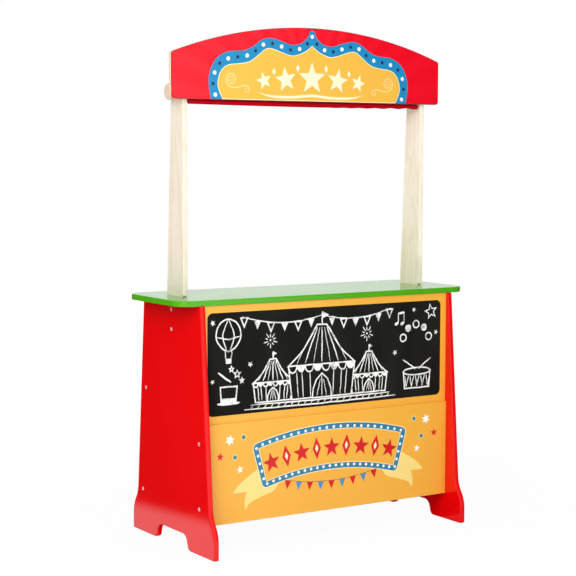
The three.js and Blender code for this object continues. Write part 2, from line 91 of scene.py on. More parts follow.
def colour(name, description, code):
    return FloatVectorProperty(name=name, description=description, default=linear(code),
                               size=3, min=0.0, max=1.0, subtype="COLOR")


def amount(name, description, default, top=1.0):
    return FloatProperty(name=name, description=description, default=default, min=0.0, max=top)


class StandBoards(bpy.types.PropertyGroup):
    """Outlines and edges of the boards."""

    edge_round: length("Edge round", "Radius on the long edges of the sides", 0.002)
    panel_round: length("Panel edge round", "Radius on the edges of printed boards and shelves", 0.001)
    post_round: length("Post edge round", "Radius on the long edges of the posts", 0.0015)
    round_steps: IntProperty(name="Round steps", description="Facets across a rounded edge", default=5, min=1)
    top_depth: length("Side depth at the top", "Front to back size under the counter", 0.240)
    top_round: length("Side top corner", "Radius of the side board's top corners", 0.006)
    knee_depth: length("Side depth at the knee", "Front to back size where taper turns into flare", 0.305)
    knee_height: length("Knee height", "Height of the corner between taper and flare", 0.083)
    knee_round: length("Knee round", "Radius of that corner", 0.060)
    flare_height: length("Flare height", "Height of the corner above the toe", 0.050)
    flare_round: length("Flare round", "Radius of that corner", 0.060)
    heel_round: length("Heel round", "Radius of the outer lower corner of a toe", 0.003)
    toe_gap: length("Toe gap", "Gap between the toes on the floor", 0.136)
    toe_round: length("Toe round", "Radius of the inner lower corner of a toe", 0.012)
    arch_width: length("Arch width", "Width of the arch between the toes at its top", 0.118)
    arch_height: length("Arch height", "Height of the arch between the toes", 0.031)
    arch_round: length("Arch round", "Radius of the arch's corners", 0.018)
    counter_corner: length("Counter corner", "Radius of the counter's corners", 0.036)
    counter_round: length("Counter edge round", "Radius on the counter's long edges", 0.0012)
    post_top_reach: length("Post reach at the top", "How far the post reaches back behind the header", 0.0205)
    shoulder_depth: length("Post shoulder depth", "Step back of the post's front in the counter", 0.007)
    shoulder_lift: length("Post shoulder lift", "Height of that step above the counter", 0.0025)
    post_low_round: length("Post foot round", "Radius of the post's lower corners", 0.010)
    post_top_round: length("Post top round", "Radius of the post's upper corners", 0.004)
    header_side: length("Header side height", "Height of the header's straight ends", 0.093)
    header_corner: length("Header corner", "Radius of the header's corners", 0.007)


class StandPaints(bpy.types.PropertyGroup):
    """Colours of paint, ink, wood, cloth and metal."""

    side_red: colour("Side red", "Gloss paint of the side boards", 0xE80004)
    counter_green: colour("Counter green", "Gloss paint of the counter", 0x4EA812)
    board_yellow: colour("Board yellow", "Ground of the lower front board and the panel's border", 0xF4B240)
    shelf_yellow: colour("Shelf yellow", "Paint of the shelves", 0xF2B24A)
    header_red: colour("Header red", "Darker rays of the header's ground", 0xEC021F)
    header_ray: colour("Header ray", "Lighter rays of the header's ground", 0xF41428)
    # Painted shade: the dark arris stands in for the shade and dark reflection on the header's rounded edge
    header_rim: colour("Header rim", "Arris round the header's print", 0x7B141A)
    plaque_yellow: colour("Plaque yellow", "Field of the header's plaque", 0xF4BB48)
    band_blue: colour("Band blue", "Marquee band of the header", 0x1C8ABD)
    frame_blue: colour("Frame blue", "Marquee frame of the lower board", 0x2E7FA4)
    bulb_white: colour("Bulb white", "Lit bulbs and white stars", 0xFBFDF8)
    bulb_navy: colour("Bulb navy", "Unlit bulbs", 0x20306A)
    cream: colour("Cream", "Thin lines, inner diamonds and the header's stars", 0xFFF3CC)
    scroll: colour("Scroll", "Curls on the header's plaque", 0xFFE3A0)
    ribbon: colour("Ribbon", "Ribbon tails behind the frame and rings round the dots", 0xF9DE86)
    print_red: colour("Print red", "Stars, diamonds and pennants", 0xD40F1B)
    print_blue: colour("Print blue", "Pennants between the red ones", 0x4C8FBE)
    teal: colour("Teal", "Small dots beside the frame", 0x3F8390)
    cord_brown: colour("String brown", "String that the pennants hang from", 0xA8602A)
    slate: colour("Slate", "Chalkboard paint", 0x1E1E1C)
    chalk: colour("Chalk", "Chalk lines", 0xF4F4F0)
    edge_wood: colour("Edge", "Lacquered bare edges and back of the header", 0xEBDDB4)
    pale_wood: colour("Pale wood", "Light bands of the posts and rod", 0xFDF1E0)
    grain_wood: colour("Grain", "Darker grain of the posts and rod", 0xF5E5CC)
    knob_wood: colour("Knob", "Wood of the two knobs", 0xE4CAB2)
    cloth_red: colour("Cloth red", "Curtain cloth", 0xB80618)
    zinc: colour("Zinc", "Plated screws and cam fittings", 0xEDEEF0)


class StandPrints(bpy.types.PropertyGroup):
    """Sizes of the printed patterns."""

    cream_line: length("Cream line", "Width of the pale line inside the header's band", 0.0014)
    bulb: length("Bulb", "Radius of a lit bulb on the header", 0.0042)
    dim_bulb: length("Dim bulb", "Radius of an unlit bulb on the header", 0.0038)
    frame_half: length("Frame half width", "Half the frame's width, measured along its middle arc", 0.1835)
    frame_low: length("Frame low arc", "Radius of the frame's lower edge", 0.6055)
    frame_high: length("Frame high arc", "Radius of the frame's upper edge", 0.7010)
    frame_top: length("Frame top", "Height of the frame's crown above the lower edge of its board", 0.1820)
    frame_band: length("Frame band", "Width of the frame's band", 0.0135)
    frame_corner: length("Frame corner", "Radius of the frame's outer corners", 0.011)
    frame_bulb: length("Frame bulb", "Radius of a bulb on the frame", 0.0031)
    frame_bulbs: IntProperty(name="Frame bulbs", description="Number of bulbs round the frame", default=52)
    slate_left: length("Slate left border", "Yellow border at the left of the black field", 0.0075)
    slate_right: length("Slate right border", "Yellow border at the right of the black field", 0.0147)
    slate_low: length("Slate low border", "Yellow border under the black field", 0.0156)
    slate_high: length("Slate high border", "Yellow border over the black field", 0.0147)
    slate_corner: length("Slate corner", "Radius of the black field's corners", 0.012)
    chalk_line: length("Chalk line", "Width of a chalk line", 0.0030)


class StandCurtain(bpy.types.PropertyGroup):
    """The wound and the hanging cloth."""

    thickness: length("Cloth thickness", "Thickness of the cloth", 0.0008)
    turns: amount("Turns", "Turns of cloth on the rod", 5.5, 20.0)
    ripple: length("Ripple", "How much the roll's radius varies along its width", 0.0018)
    ripple_length: length("Ripple length", "Distance between two thick places of the roll", 0.118)
    end_taper: length("End taper", "How much thinner the roll is at its two ends", 0.0012)
    end_taper_length: length("End taper length", "Distance over which the roll fills out", 0.016)
    slack: length("Slack", "Sag of the outer layer under the roll", 0.0012)
    hem_round: length("Hem round", "Radius of the hem's middle surface round its bar", 0.0041)
    hem_droop: length("Hem droop", "How far the slack of the hem hangs below its bar", 0.0026)


class StandLight(bpy.types.PropertyGroup):
    """Camera and studio light."""

    camera_place: FloatVectorProperty(name="Camera place", description="Where the camera stands",
                                      size=3, subtype="TRANSLATION", unit="LENGTH",
                                      default=(-1.8256, -2.8084, 0.7971))
    camera_turn: FloatVectorProperty(name="Camera turn", description="Heading, tilt and roll of the camera",
                                     size=3, subtype="EULER", unit="ROTATION",
                                     default=tuple(map(math.radians, (-32.553, -4.811, 0.138))))
    lens: FloatProperty(name="Lens", description="Focal length", default=98.16, subtype="DISTANCE_CAMERA")
    ambient: amount("Ambient", "Strength of the even light from all round", 0.48, 5.0)
    key: amount("Key light", "Power of the soft box at the left of the front, in watts", 43.0, 500.0)
    front: amount("Front light", "Power of the large soft box in front, in watts", 14.0, 500.0)
    top: amount("Top light", "Power of the soft box overhead, in watts", 6.0, 500.0)
    back: amount("Back light", "Power of the large soft box behind the stand, in watts", 34.0, 500.0)


def settings():
    return bpy.context.scene.stand


# Outlines, as lists of 2D points

def counter_clockwise(points):
    area = sum(p.x * q.y - q.x * p.y for p, q in zip(points, points[1:] + points[:1]))
    return points if area > 0 else points[::-1]


def rounded_outline(corners, facet=math.radians(5)):
    """A closed outline with each corner (across, up, radius) rounded by an arc."""
    points = []
    for i, (across, up, radius) in enumerate(corners):
        corner = Vector((across, up))
        if radius == 0:
            points.append(corner)
            continue
        before = (Vector(corners[i - 1][:2]) - corner).normalized()
        after = (Vector(corners[(i + 1) % len(corners)][:2]) - corner).normalized()
        half = before.angle(after) / 2
        centre = corner + (before + after).normalized() * radius / math.sin(half)
        start = corner + before * radius / math.tan(half) - centre
        turn = before.x * after.y - before.y * after.x
        sweep = math.copysign(math.pi - 2 * half, -turn)
        steps = max(2, math.ceil(abs(sweep) / facet))
        points += [centre + Matrix.Rotation(sweep * i / steps, 2) @ start for i in range(steps + 1)]
    return counter_clockwise(points)


def rectangle(x0, z0, x1, z1, radius=0.0):
    return rounded_outline([(x0, z0, radius), (x1, z0, radius), (x1, z1, radius), (x0, z1, radius)])


def moved_in(points, distance):
    """A counter-clockwise outline moved inwards by a distance."""
    moved = []
    for i, point in enumerate(points):
        before = (point - points[i - 1]).normalized()
        after = (points[(i + 1) % len(points)] - point).normalized()
        inward = Vector((-before.y - after.y, before.x + after.x))
        moved.append(point + inward * distance / (1 + before.dot(after)))
    return moved


def smooth_path(keys, steps=8):
    """A curve through given points."""
    keys = [Vector(key) for key in keys]
    path = []
    for i in range(len(keys) - 1):
        a, b = keys[i], keys[i + 1]
        before = keys[i - 1] if i else 2 * a - b
        after = keys[i + 2] if i + 2 < len(keys) else 2 * b - a
        for step in range(steps):
            t = step / steps
            path.append(((2 * a) + (b - before) * t + (2 * before - 5 * a + 4 * b - after) * t * t
                         + (3 * a - before - 3 * b + after) * t ** 3) / 2)
    return path + [keys[-1]]


def mirrored(points):
    return [Vector((-p.x, p.y)) for p in reversed(points)]


def along(path, distances):
    """Points of a path at distances from its start."""
    found = []
    for distance in distances:
        for a, b in zip(path, path[1:]):
            step = (b - a).length
            if distance <= step:
                break
            distance -= step
        found.append(a.lerp(b, min(1.0, distance / max(step, 1e-9))))
    return found


def path_length(path):
    return sum((b - a).length for a, b in zip(path, path[1:]))


def refined(points, longest):
    """A closed outline with its long edges divided."""
    out = []
    for a, b in zip(points, points[1:] + points[:1]):
        pieces = max(1, math.ceil((b - a).length / longest))
        out += [a.lerp(b, i / pieces) for i in range(pieces)]
    return out


def oval(centre, across, up, count=20):
    turn = 2 * math.pi / count
    return [Vector(centre) + Vector((across * math.cos(i * turn), up * math.sin(i * turn)))
            for i in range(count)]


def disc(centre, radius, count=20):
    return oval(centre, radius, radius, count)


def star(centre, radius, points=5, waist=0.42, turn=0.0):
    """A star with a point straight up, turned by an angle."""
    step = math.pi / points
    reach = [radius * (waist if i % 2 else 1) for i in range(2 * points)]
    return [Vector(centre) + r * Vector((-math.sin(i * step + turn), math.cos(i * step + turn)))
            for i, r in enumerate(reach)]


def diamond(centre, half_width, half_height):
    x, z = centre
    return [Vector((x, z - half_height)), Vector((x + half_width, z)),
            Vector((x, z + half_height)), Vector((x - half_width, z))]


def stroke(path, width, taper=0.0):
    """The outline of a line of a given width along a path; taper thins both ends to a point."""
    whole = path_length(path)
    left, right, gone = [], [], 0.0
    for i, point in enumerate(path):
        before = path[max(i - 1, 0)]
        after = path[min(i + 1, len(path) - 1)]
        if i:
            gone += (point - before).length
        run = (after - before).normalized()
        share = min(gone, whole - gone) / whole
        half = width / 2 * (1 - taper * max(0.0, 1 - 4 * share) ** 2)
        left.append(point + Vector((-run.y, run.x)) * half)
        right.append(point - Vector((-run.y, run.x)) * half)
    return counter_clockwise(left + right[::-1])


# Solids

def skin(bm, rings, closed=True):
    """Quads from each ring of vertices to the next."""
    count = len(rings[0])
    faces = []
    for low, high in zip(rings, rings[1:]):
        for i in range(count if closed else count - 1):
            j = (i + 1) % count
            faces.append(bm.faces.new((low[i], low[j], high[j], high[i])))
    return faces


def printed_cap(bm, border, shapes):
    """Fills a ring of vertices with triangles cut along printed shapes; the topmost shape gives the ink."""
    depth = border[0].co.z
    points = [v.co.xy for v in border]
    faces = [list(range(len(points)))]
    for _, shape in shapes:
        faces.append(list(range(len(points), len(points) + len(shape))))
        points += counter_clockwise(shape)
    inks = [0] + [ink for ink, _ in shapes]
    places, _, triangles, sources, _, layers = delaunay_2d_cdt(points, [], faces, 1, 1e-7, True)
    vertices = []
    for place, source in zip(places, sources):
        edge = [i for i in source if i < len(border)]
        vertices.append(border[edge[0]] if edge else bm.verts.new((*place, depth)))
    for triangle, layer in zip(triangles, layers):
        if 0 in layer:
            face = bm.faces.new([vertices[i] for i in triangle])
            face.material_index = inks[max(layer)]


def board_mesh(outline, thickness, edge_round, shapes=(), edge_ink=0, rim_ink=0):
    """A board centred on its middle plane, with rounded edges and a printed front facing +Z."""
    steps = settings().boards.round_steps
    bm = bmesh.new()
    rings = []
    for end in (-1, 1):
        for step in range(steps + 1)[::-end]:
            angle = math.pi / 2 * step / steps
            ring = moved_in(outline, edge_round * (1 - math.sin(angle)))
            depth = end * (thickness / 2 - edge_round * (1 - math.cos(angle)))
            rings.append([bm.verts.new((p.x, p.y, depth)) for p in ring])
    for face in skin(bm, rings[:steps + 2]) + [bm.faces.new(rings[0][::-1])]:
        face.smooth = len(face.verts) == 4
        face.material_index = edge_ink
    for face in skin(bm, rings[steps + 1:]):
        face.smooth = True
        face.material_index = rim_ink
    if shapes:
        printed_cap(bm, rings[-1], shapes)
    else:
        bm.faces.new(rings[-1])
    return bm


def turned_mesh(profile, sides=40):
    """A turned solid about +Z from a profile of (radius, height) that starts and ends on its axis."""
    bm = bmesh.new()
    rings = []
    for radius, height in profile:
        if radius == 0:
            rings.append([bm.verts.new((0, 0, height))])
        else:
            rings.append([bm.verts.new((*p, height)) for p in disc((0, 0), radius, sides)])
    for low, high in zip(rings, rings[1:]):
        for i in range(sides):
            j = (i + 1) % sides
            corners = [low[i % len(low)], low[j % len(low)], high[j % len(high)], high[i % len(high)]]
            corners = [v for n, v in enumerate(corners) if v not in corners[:n]]
            bm.faces.new(corners).smooth = True
    bmesh.ops.recalc_face_normals(bm, faces=bm.faces)
    return bm


def bar_profile(radius, low, high, chamfer):
    """The profile of a round bar with chamfered ends."""
    return [(0, low), (radius - chamfer, low), (radius, low + chamfer),
            (radius, high - chamfer), (radius - chamfer, high), (0, high)]


def box_mesh(low, high):
    bm = bmesh.new()
    centre = (Vector(low) + Vector(high)) / 2
    size = Vector(high) - Vector(low)
    bmesh.ops.create_cube(bm, matrix=Matrix.Translation(centre) @ Matrix.Diagonal((*size, 1)))
    return bm


def board_place(low, high, axis):
    """Stands a board up halfway between its two faces, which look along an axis."""
    place = Vector()
    place[axis] = (low[axis] + high[axis]) / 2
    return Matrix.Translation(place) @ STANDING[axis]


def unit(axis):
    return [1 if i == axis else 0 for i in range(3)]


def facing(direction):
    """A rotation that turns +Z to a direction."""
    return Vector(direction).to_track_quat("Z", "Y").to_matrix().to_4x4()


def mark_creases(mesh, angle=math.radians(28)):
    """Keeps the edges sharp where a piece really has an arris."""
    bm = bmesh.new()
    bm.from_mesh(mesh)
    for edge in bm.edges:
        if len(edge.link_faces) == 2 and edge.calc_face_angle(0) > angle:
            edge.smooth = False
    for face in bm.faces:
        if any(not e.smooth for e in face.edges) and len(face.edges) > 8:
            face.smooth = False
    bm.to_mesh(mesh)
    bm.free()


def make_piece(name, bm, place, materials):
    """A new object whose mesh already stands in its place."""
    bm.transform(place)
    mesh = bpy.data.meshes.new(name)
    bm.to_mesh(mesh)
    bm.free()
    for material in materials:
        mesh.materials.append(material)
    piece = bpy.data.objects.new(name, mesh)
    bpy.context.scene.collection.objects.link(piece)
    mark_creases(mesh)
    return piece


def apply_modifiers(piece):
    bpy.context.view_layer.update()
    depsgraph = bpy.context.evaluated_depsgraph_get()
    mesh = bpy.data.meshes.new_from_object(piece.evaluated_get(depsgraph))
    piece.modifiers.clear()
    old, piece.data = piece.data, mesh
    bpy.data.meshes.remove(old)
    mark_creases(mesh)


def cut(piece, tools):
    """Cuts a piece with meshes that are given where they stand."""
    cutters = [make_piece("tool", bm, place, []) for bm, place in tools]
    for cutter in cutters:
        modifier = piece.modifiers.new("cut", "BOOLEAN")
        modifier.operation = "DIFFERENCE"
        modifier.solver = "EXACT"
        modifier.object = cutter
    apply_modifiers(piece)
    for cutter in cutters:
        bpy.data.objects.remove(cutter)


def seat(piece, body, slot, *nodes):
    """Puts a piece on its body in place of the nodes that it stands for; its finish, the slot, is not used.
    """
    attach(piece, body)
    if nodes:
        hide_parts(*nodes)


def middle(node):
    low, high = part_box(node)
    return (low + high) / 2


# Materials

def node(tree, kind, inputs=None, **options):
    """A shader node with its options set and its inputs set or linked."""
    made = tree.nodes.new(kind)
    for key, value in options.items():
        setattr(made, key, value)
    for key, value in (inputs or {}).items():
        if isinstance(value, bpy.types.NodeSocket):
            tree.links.new(value, made.inputs[key])
        else:
            made.inputs[key].default_value = value
    return made


def start_material(name):
    material = bpy.data.materials.new(name)
    material.use_nodes = True
    tree = material.node_tree
    return material, tree, tree.nodes["Principled BSDF"]


def object_place(tree, scale=(1, 1, 1)):
    coordinates = node(tree, "ShaderNodeTexCoord").outputs["Object"]
    return node(tree, "ShaderNodeMapping", {"Vector": coordinates, "Scale": scale}).outputs["Vector"]


def mixed(tree, share, first, second):
    mix = node(tree, "ShaderNodeMix", {0: share, 6: first, 7: second}, data_type="RGBA")
    return mix.outputs[2]


def between(tree, value, low, high, from_low=0.3, from_high=0.7):
    inputs = {"Value": value, "From Min": from_low, "From Max": from_high, "To Min": low, "To Max": high}
    return node(tree, "ShaderNodeMapRange", inputs).outputs["Result"]


def cloud_at(tree, place, scale, detail=2.0):
    """Soft noise over a surface, from 0 to 1."""
    inputs = {"Vector": place, "Scale": scale, "Detail": detail}
    return node(tree, "ShaderNodeTexNoise", inputs).outputs["Fac"]


def calc(tree, operation, *values, **options):
    """The result of one Math node."""
    return node(tree, "ShaderNodeMath", dict(enumerate(values)), operation=operation, **options).outputs[0]


def mixed_shader(tree, share, first, second):
    return node(tree, "ShaderNodeMixShader", {0: share, 1: first, 2: second}).outputs[0]


def wire(tree, shader, tint, roughness, height, strength, distance):
    """Gives the shader its colour, its roughness and the bump of a height."""
    bump = node(tree, "ShaderNodeBump", {"Height": height, "Strength": strength, "Distance": distance})
    tree.links.new(tint, shader.inputs["Base Color"])
    tree.links.new(roughness, shader.inputs["Roughness"])
    tree.links.new(bump.outputs["Normal"], shader.inputs["Normal"])


def shade(rgb, factor=1.0):
    return (*(min(1.0, channel * factor) for channel in rgb), 1.0)


def cached(make):
    """Each finish is made once and shared by its name."""
    def get(name, *values):
        return bpy.data.materials.get(name) or make(name, *values)
    return get


@cached
def gloss_paint(name, rgb):
    """Sprayed gloss paint on smooth fibreboard, with a little orange peel."""
    material, tree, shader = start_material(name)
    place = object_place(tree)
    cloud, peel = cloud_at(tree, place, 5.0, 3.0), cloud_at(tree, place, 260.0)
    tint = mixed(tree, cloud, shade(rgb, 0.95), shade(rgb, 1.04))
    wire(tree, shader, tint, between(tree, cloud, 0.10, 0.15), peel, strength=0.05, distance=0.0004)
    return material


@cached
def print_ink(name, rgb):
    """Screen-printed ink under a satin lacquer."""
    material, tree, shader = start_material(name)
    place = object_place(tree)
    cloud, tooth = cloud_at(tree, place, 9.0, 4.0), cloud_at(tree, place, 900.0, 1.0)
    tint = mixed(tree, cloud, shade(rgb, 0.96), shade(rgb, 1.03))
    wire(tree, shader, tint, between(tree, cloud, 0.10, 0.15), tooth, strength=0.06, distance=0.0002)
    return material


@cached
def sunburst_ink(name, dark, light):
    """The header's red ground, with faint rays that spread from below the plaque and grow fainter towards the
    right as painted shade.
    """
    rays, ray_centre = 34.0, (0.0, 0.0, 0.88)
    material, tree, shader = start_material(name)
    place = node(tree, "ShaderNodeTexCoord").outputs["Object"]
    from_centre = node(tree, "ShaderNodeVectorMath", {0: place, 1: ray_centre}, operation="SUBTRACT")
    parts = node(tree, "ShaderNodeSeparateXYZ", {"Vector": from_centre.outputs["Vector"]}).outputs
    wobble, tooth = cloud_at(tree, place, 7.0, 5.0), cloud_at(tree, place, 900.0)
    phase = calc(tree, "MULTIPLY", calc(tree, "ARCTAN2", parts["Z"], parts["X"]), rays)
    wave = calc(tree, "SINE", calc(tree, "ADD", phase, wobble))
    # Fewer light rays towards the right: painted shade; the rays themselves are print
    reach = between(tree, parts["X"], 1.0, 0.25, 0.0, 0.2)
    share = calc(tree, "MULTIPLY", between(tree, wave, 0.0, 1.0, -0.6, 0.6), reach)
    tint = mixed(tree, share, (*dark, 1), (*light, 1))
    wire(tree, shader, tint, between(tree, wobble, 0.10, 0.15), tooth, strength=0.06, distance=0.0002)
    return material


@cached
def slate_paint(name, rgb):
    """Matt chalkboard paint with a trace of wiped chalk dust."""
    material, tree, shader = start_material(name)
    place = object_place(tree, (3.0, 3.0, 1.2))
    dust, grit = cloud_at(tree, place, 4.0, 6.0), cloud_at(tree, place, 500.0)
    tint = mixed(tree, between(tree, dust, 0.0, 1.0, 0.40, 0.80), shade(rgb, 0.85), shade(rgb, 1.6))
    wire(tree, shader, tint, between(tree, grit, 0.62, 0.80), grit, strength=0.25, distance=0.0002)
    shader.inputs["IOR"].default_value = 1.05
    return material


@cached
def chalk_mark(name, chalk, slate):
    """Chalk that has caught on the tooth of the board and lets it show through."""
    material, tree, shader = start_material(name)
    place = object_place(tree)
    grit, patch = cloud_at(tree, place, 750.0, 3.0), cloud_at(tree, place, 60.0)
    share = between(tree, calc(tree, "ADD", grit, patch), 0.25, 1.0, 0.72, 0.98)
    tint = mixed(tree, share, shade(slate, 2.0), (*chalk, 1))
    wire(tree, shader, tint, between(tree, grit, 0.85, 1.0), grit, strength=0.5, distance=0.0003)
    shader.inputs["Specular IOR Level"].default_value = 0.1
    return material


@cached
def clear_wood(name, light, dark, grain):
    """Clear lacquered pale wood whose grain runs along X, Y or Z."""
    material, tree, shader = start_material(name)
    fine = [1.0 if axis == grain else 14.0 for axis in "XYZ"]
    broad = [0.6 if axis == grain else 5.0 for axis in "XYZ"]
    flow = node(tree, "ShaderNodeTexNoise", {"Vector": object_place(tree, broad), "Scale": 7.0,
                                             "Detail": 4.0, "Distortion": 0.6}).outputs["Fac"]
    pores = cloud_at(tree, object_place(tree, fine), 60.0, 5.0)
    wave = calc(tree, "SINE", calc(tree, "MULTIPLY", flow, 34.0))
    line = between(tree, wave, 0.0, 0.75, -0.2, 1.0)
    speck = between(tree, pores, 0.0, 0.45, 0.45, 0.75)
    share = calc(tree, "ADD", line, speck, use_clamp=True)
    tint = mixed(tree, share, (*light, 1), (*dark, 1))
    wire(tree, shader, tint, between(tree, pores, 0.42, 0.58), pores, strength=0.12, distance=0.0003)
    return material


@cached
def plain_weave(name, rgb):
    """Dark woven cotton: crossing threads in the bump, thread crests tinted lighter as a painted highlight, a
    trace of sheen and uneven dye.
    """
    thread = 250.0
    material, tree, shader = start_material(name)
    place = object_place(tree)
    dye = cloud_at(tree, place, 24.0, 4.0)
    warp, weft = (node(tree, "ShaderNodeTexWave", {"Vector": place, "Scale": thread, "Distortion": 1.0},
                       bands_direction=across).outputs["Fac"] for across in "XZ")
    threads = calc(tree, "MULTIPLY", warp, weft)
    ground = mixed(tree, dye, shade(rgb, 0.75), shade(rgb, 1.2))
    # Thread crests are tinted lighter: a painted highlight
    tint = mixed(tree, threads, ground, shade(rgb, 1.35))
    wire(tree, shader, tint, between(tree, dye, 0.80, 0.95), threads, strength=0.5, distance=0.0004)
    shader.inputs["Sheen Weight"].default_value = 0.05
    shader.inputs["Sheen Tint"].default_value = shade(rgb)
    shader.inputs["IOR"].default_value = 1.1
    return material


@cached
def zinc_plate(name, rgb):
    """Bright zinc plating with fine turning marks."""
    material, tree, shader = start_material(name)
    cloud = cloud_at(tree, object_place(tree), 300.0, 4.0)
    tint = mixed(tree, cloud, shade(rgb, 0.85), shade(rgb, 1.05))
    wire(tree, shader, tint, between(tree, cloud, 0.35, 0.45), cloud, strength=0.1, distance=0.0001)
    shader.inputs["Metallic"].default_value = 0.4
    return material


def inks(*names):
    """Materials for printed colours by the names of their properties."""
    paints = settings().paints
    return [print_ink(f"ink_{name}", getattr(paints, name)) for name in names]


def wood(grain, shade_copy="plain", painted_shade=1.0):
    """Pale wood; a copy for one place may be darkened as painted shade."""
    light, dark = ([painted_shade * channel for channel in rgb]
                   for rgb in (settings().paints.pale_wood, settings().paints.grain_wood))
    return clear_wood(f"wood_{shade_copy}_{grain.lower()}", light, dark, grain)


def zinc():
    return zinc_plate("bright_zinc", settings().paints.zinc)


# Cutting tools for holes and pockets

GAP = 0.0003
OVERRUN = 0.001
SCREW_BITE = 0.0010         # by which a side screw's hole in a board is narrower than its head
HEADER_SCREW_BITE = 0.0016  # the same for the pan-headed screws of the header


def side_screws(side):
    names = ("post_upper", "post_lower", "bottom_shelf", "middle_shelf", "front_upper", "front_lower")
    return [f"{name}_screw_{side}" for name in names]


def header_screws(side):
    return [f"header_screw_{level}_{side}" for level in ("lower", "upper")]


def shelf_dowels(side):
    return [f"{shelf}_dowel_{side}" for shelf in SHELVES]


def bore(name, axis, clearance=GAP):
    """A round hole as long as a node, with clearance all round."""
    low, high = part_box(name)
    centre, size = (low + high) / 2, high - low
    across = [i for i in range(3) if i != axis]
    radius = max(size[i] for i in across) / 2 + clearance
    half = size[axis] / 2 + clearance
    profile = [(0, -half), (radius, -half), (radius, half), (0, half)]
    return turned_mesh(profile, 24), Matrix.Translation(centre) @ facing(unit(axis))


def side_face(name, sign, pick):
    """The middle of a node's outer face, where pick is max, or of its inner one, where it is min."""
    low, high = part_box(name)
    place = middle(name)
    place.x = sign * pick(abs(low.x), abs(high.x))
    return place


# Countersunk screws stand in holes of their own shape, flush with the outer face of the side
HEAD_RADIUS, HEAD_DEPTH, HEAD_DOME, SHANK_RADIUS, TIP_LENGTH = 0.0040, 0.0025, 0.0003, 0.0019, 0.004
THREAD_PITCH, CORE_RADIUS = 0.0022, 0.0013
# Reach, width and depth of the cross that the driver fits
SIDE_RECESS = (0.0015, 0.0004, 0.0011)
PAN_RECESS = (0.0019, 0.0005, 0.0013)
CAM_RECESS = (0.0034, 0.0008, 0.0022)


def countersink(name, sign):
    low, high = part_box(name)
    reach = high.x - low.x + GAP
    profile = [(0, -OVERRUN), (HEAD_RADIUS + GAP, -OVERRUN), (HEAD_RADIUS + GAP, GAP),
               (SHANK_RADIUS + GAP, HEAD_DEPTH + GAP), (SHANK_RADIUS + GAP, reach), (0, reach)]
    place = Matrix.Translation(side_face(name, sign, max)) @ facing((-sign, 0, 0))
    return turned_mesh(profile, 32), place


def cam_pocket(name, sign):
    low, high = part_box(name)
    radius = (high.z - low.z) / 2 + GAP
    depth = high.x - low.x + GAP
    profile = [(0, -OVERRUN), (radius, -OVERRUN), (radius, depth), (0, depth)]
    place = Matrix.Translation(side_face(name, sign, min)) @ facing((sign, 0, 0))
    return turned_mesh(profile, 48), place


def panel_groove():
    low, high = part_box("chalkboard_panel")
    margin = Vector((GAP, GAP, GAP))
    return box_mesh(low - margin, high + margin), Matrix()


def corner_fittings(prefix, side):
    return [f"{prefix}_{side}_{end}" for end in ENDS]


class STAND_OT_side_boards(bpy.types.Operator):
    """Two tapered side boards on flared toes, bored and grooved for everything that they hold"""

    bl_idname = "stand.side_boards"
    bl_label = "Side Boards"

    def outline(self, sizes, height, depth):
        top = height + sizes.edge_round
        half = [
            (sizes.top_depth / 2, top, sizes.top_round),
            (sizes.knee_depth / 2, sizes.knee_height, sizes.knee_round),
            (depth / 2, sizes.flare_height, sizes.flare_round),
            (depth / 2, 0, sizes.heel_round),
            (sizes.toe_gap / 2, 0, sizes.toe_round),
            (sizes.arch_width / 2, sizes.arch_height, sizes.arch_round),
        ]
        return rounded_outline(half + [(-y, z, radius) for y, z, radius in reversed(half)])

    def execute(self, context):
        sizes = settings().boards
        paint = gloss_paint("side_red", settings().paints.side_red)
        for side, sign in HANDS:
            low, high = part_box(f"side_board_{side}")
            outline = self.outline(sizes, high.z, high.y - low.y)
            bm = board_mesh(outline, high.x - low.x, sizes.edge_round)
            piece = make_piece(f"painted_side_{side}", bm, board_place(low, high, 0), [paint])
            above = box_mesh((low.x - OVERRUN, low.y, high.z), (high.x + OVERRUN, high.y, high.z + 0.01))
            tools = [(above, Matrix())]
            tools += [countersink(name, sign) for name in side_screws(side)]
            tools += [cam_pocket(name, sign) for name in corner_fittings("cam_lock", side)]
            tools += [bore(name, 2) for name in corner_fittings("cam_bolt", side)]
            tools += [bore(name, 2) for name in corner_fittings("counter_dowel", side)]
            tools += [bore(name, 0) for name in shelf_dowels(side)]
            cut(piece, tools + [panel_groove()])
            seat(piece, "stand", "red_paint", f"side_board_{side}")
        return {"FINISHED"}


class STAND_OT_counter(bpy.types.Operator):
    """Green counter with rounded corners and a slot for each post"""

    bl_idname = "stand.counter"
    bl_label = "Counter"

    def execute(self, context):
        sizes = settings().boards
        low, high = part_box("counter_top")
        outline = rectangle(low.x, low.y, high.x, high.y, sizes.counter_corner)
        bm = board_mesh(outline, high.z - low.z, sizes.counter_round)
        paint = gloss_paint("counter_green", settings().paints.counter_green)
        piece = make_piece("painted_counter", bm, board_place(low, high, 2), [paint])
        tools = [panel_groove()]
        slack = 0.005
        for side, _ in HANDS:
            near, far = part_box(f"post_{side}")
            tools.append((box_mesh((near.x - GAP, near.y - slack, low.z - OVERRUN),
                                   (far.x + GAP, far.y + GAP, high.z + OVERRUN)), Matrix()))
            tools += [bore(name, 2) for name in corner_fittings("cam_bolt", side)]
            tools += [bore(name, 2) for name in corner_fittings("counter_dowel", side)]
        cut(piece, tools)
        seat(piece, "stand", "green_paint", "counter_top")
        return {"FINISHED"}


def in_board(points, low):
    """Points across and up from the middle of a board's lower edge, in the frame's own axes."""
    return [Vector((p.x, p.y + low.z)) for p in points]


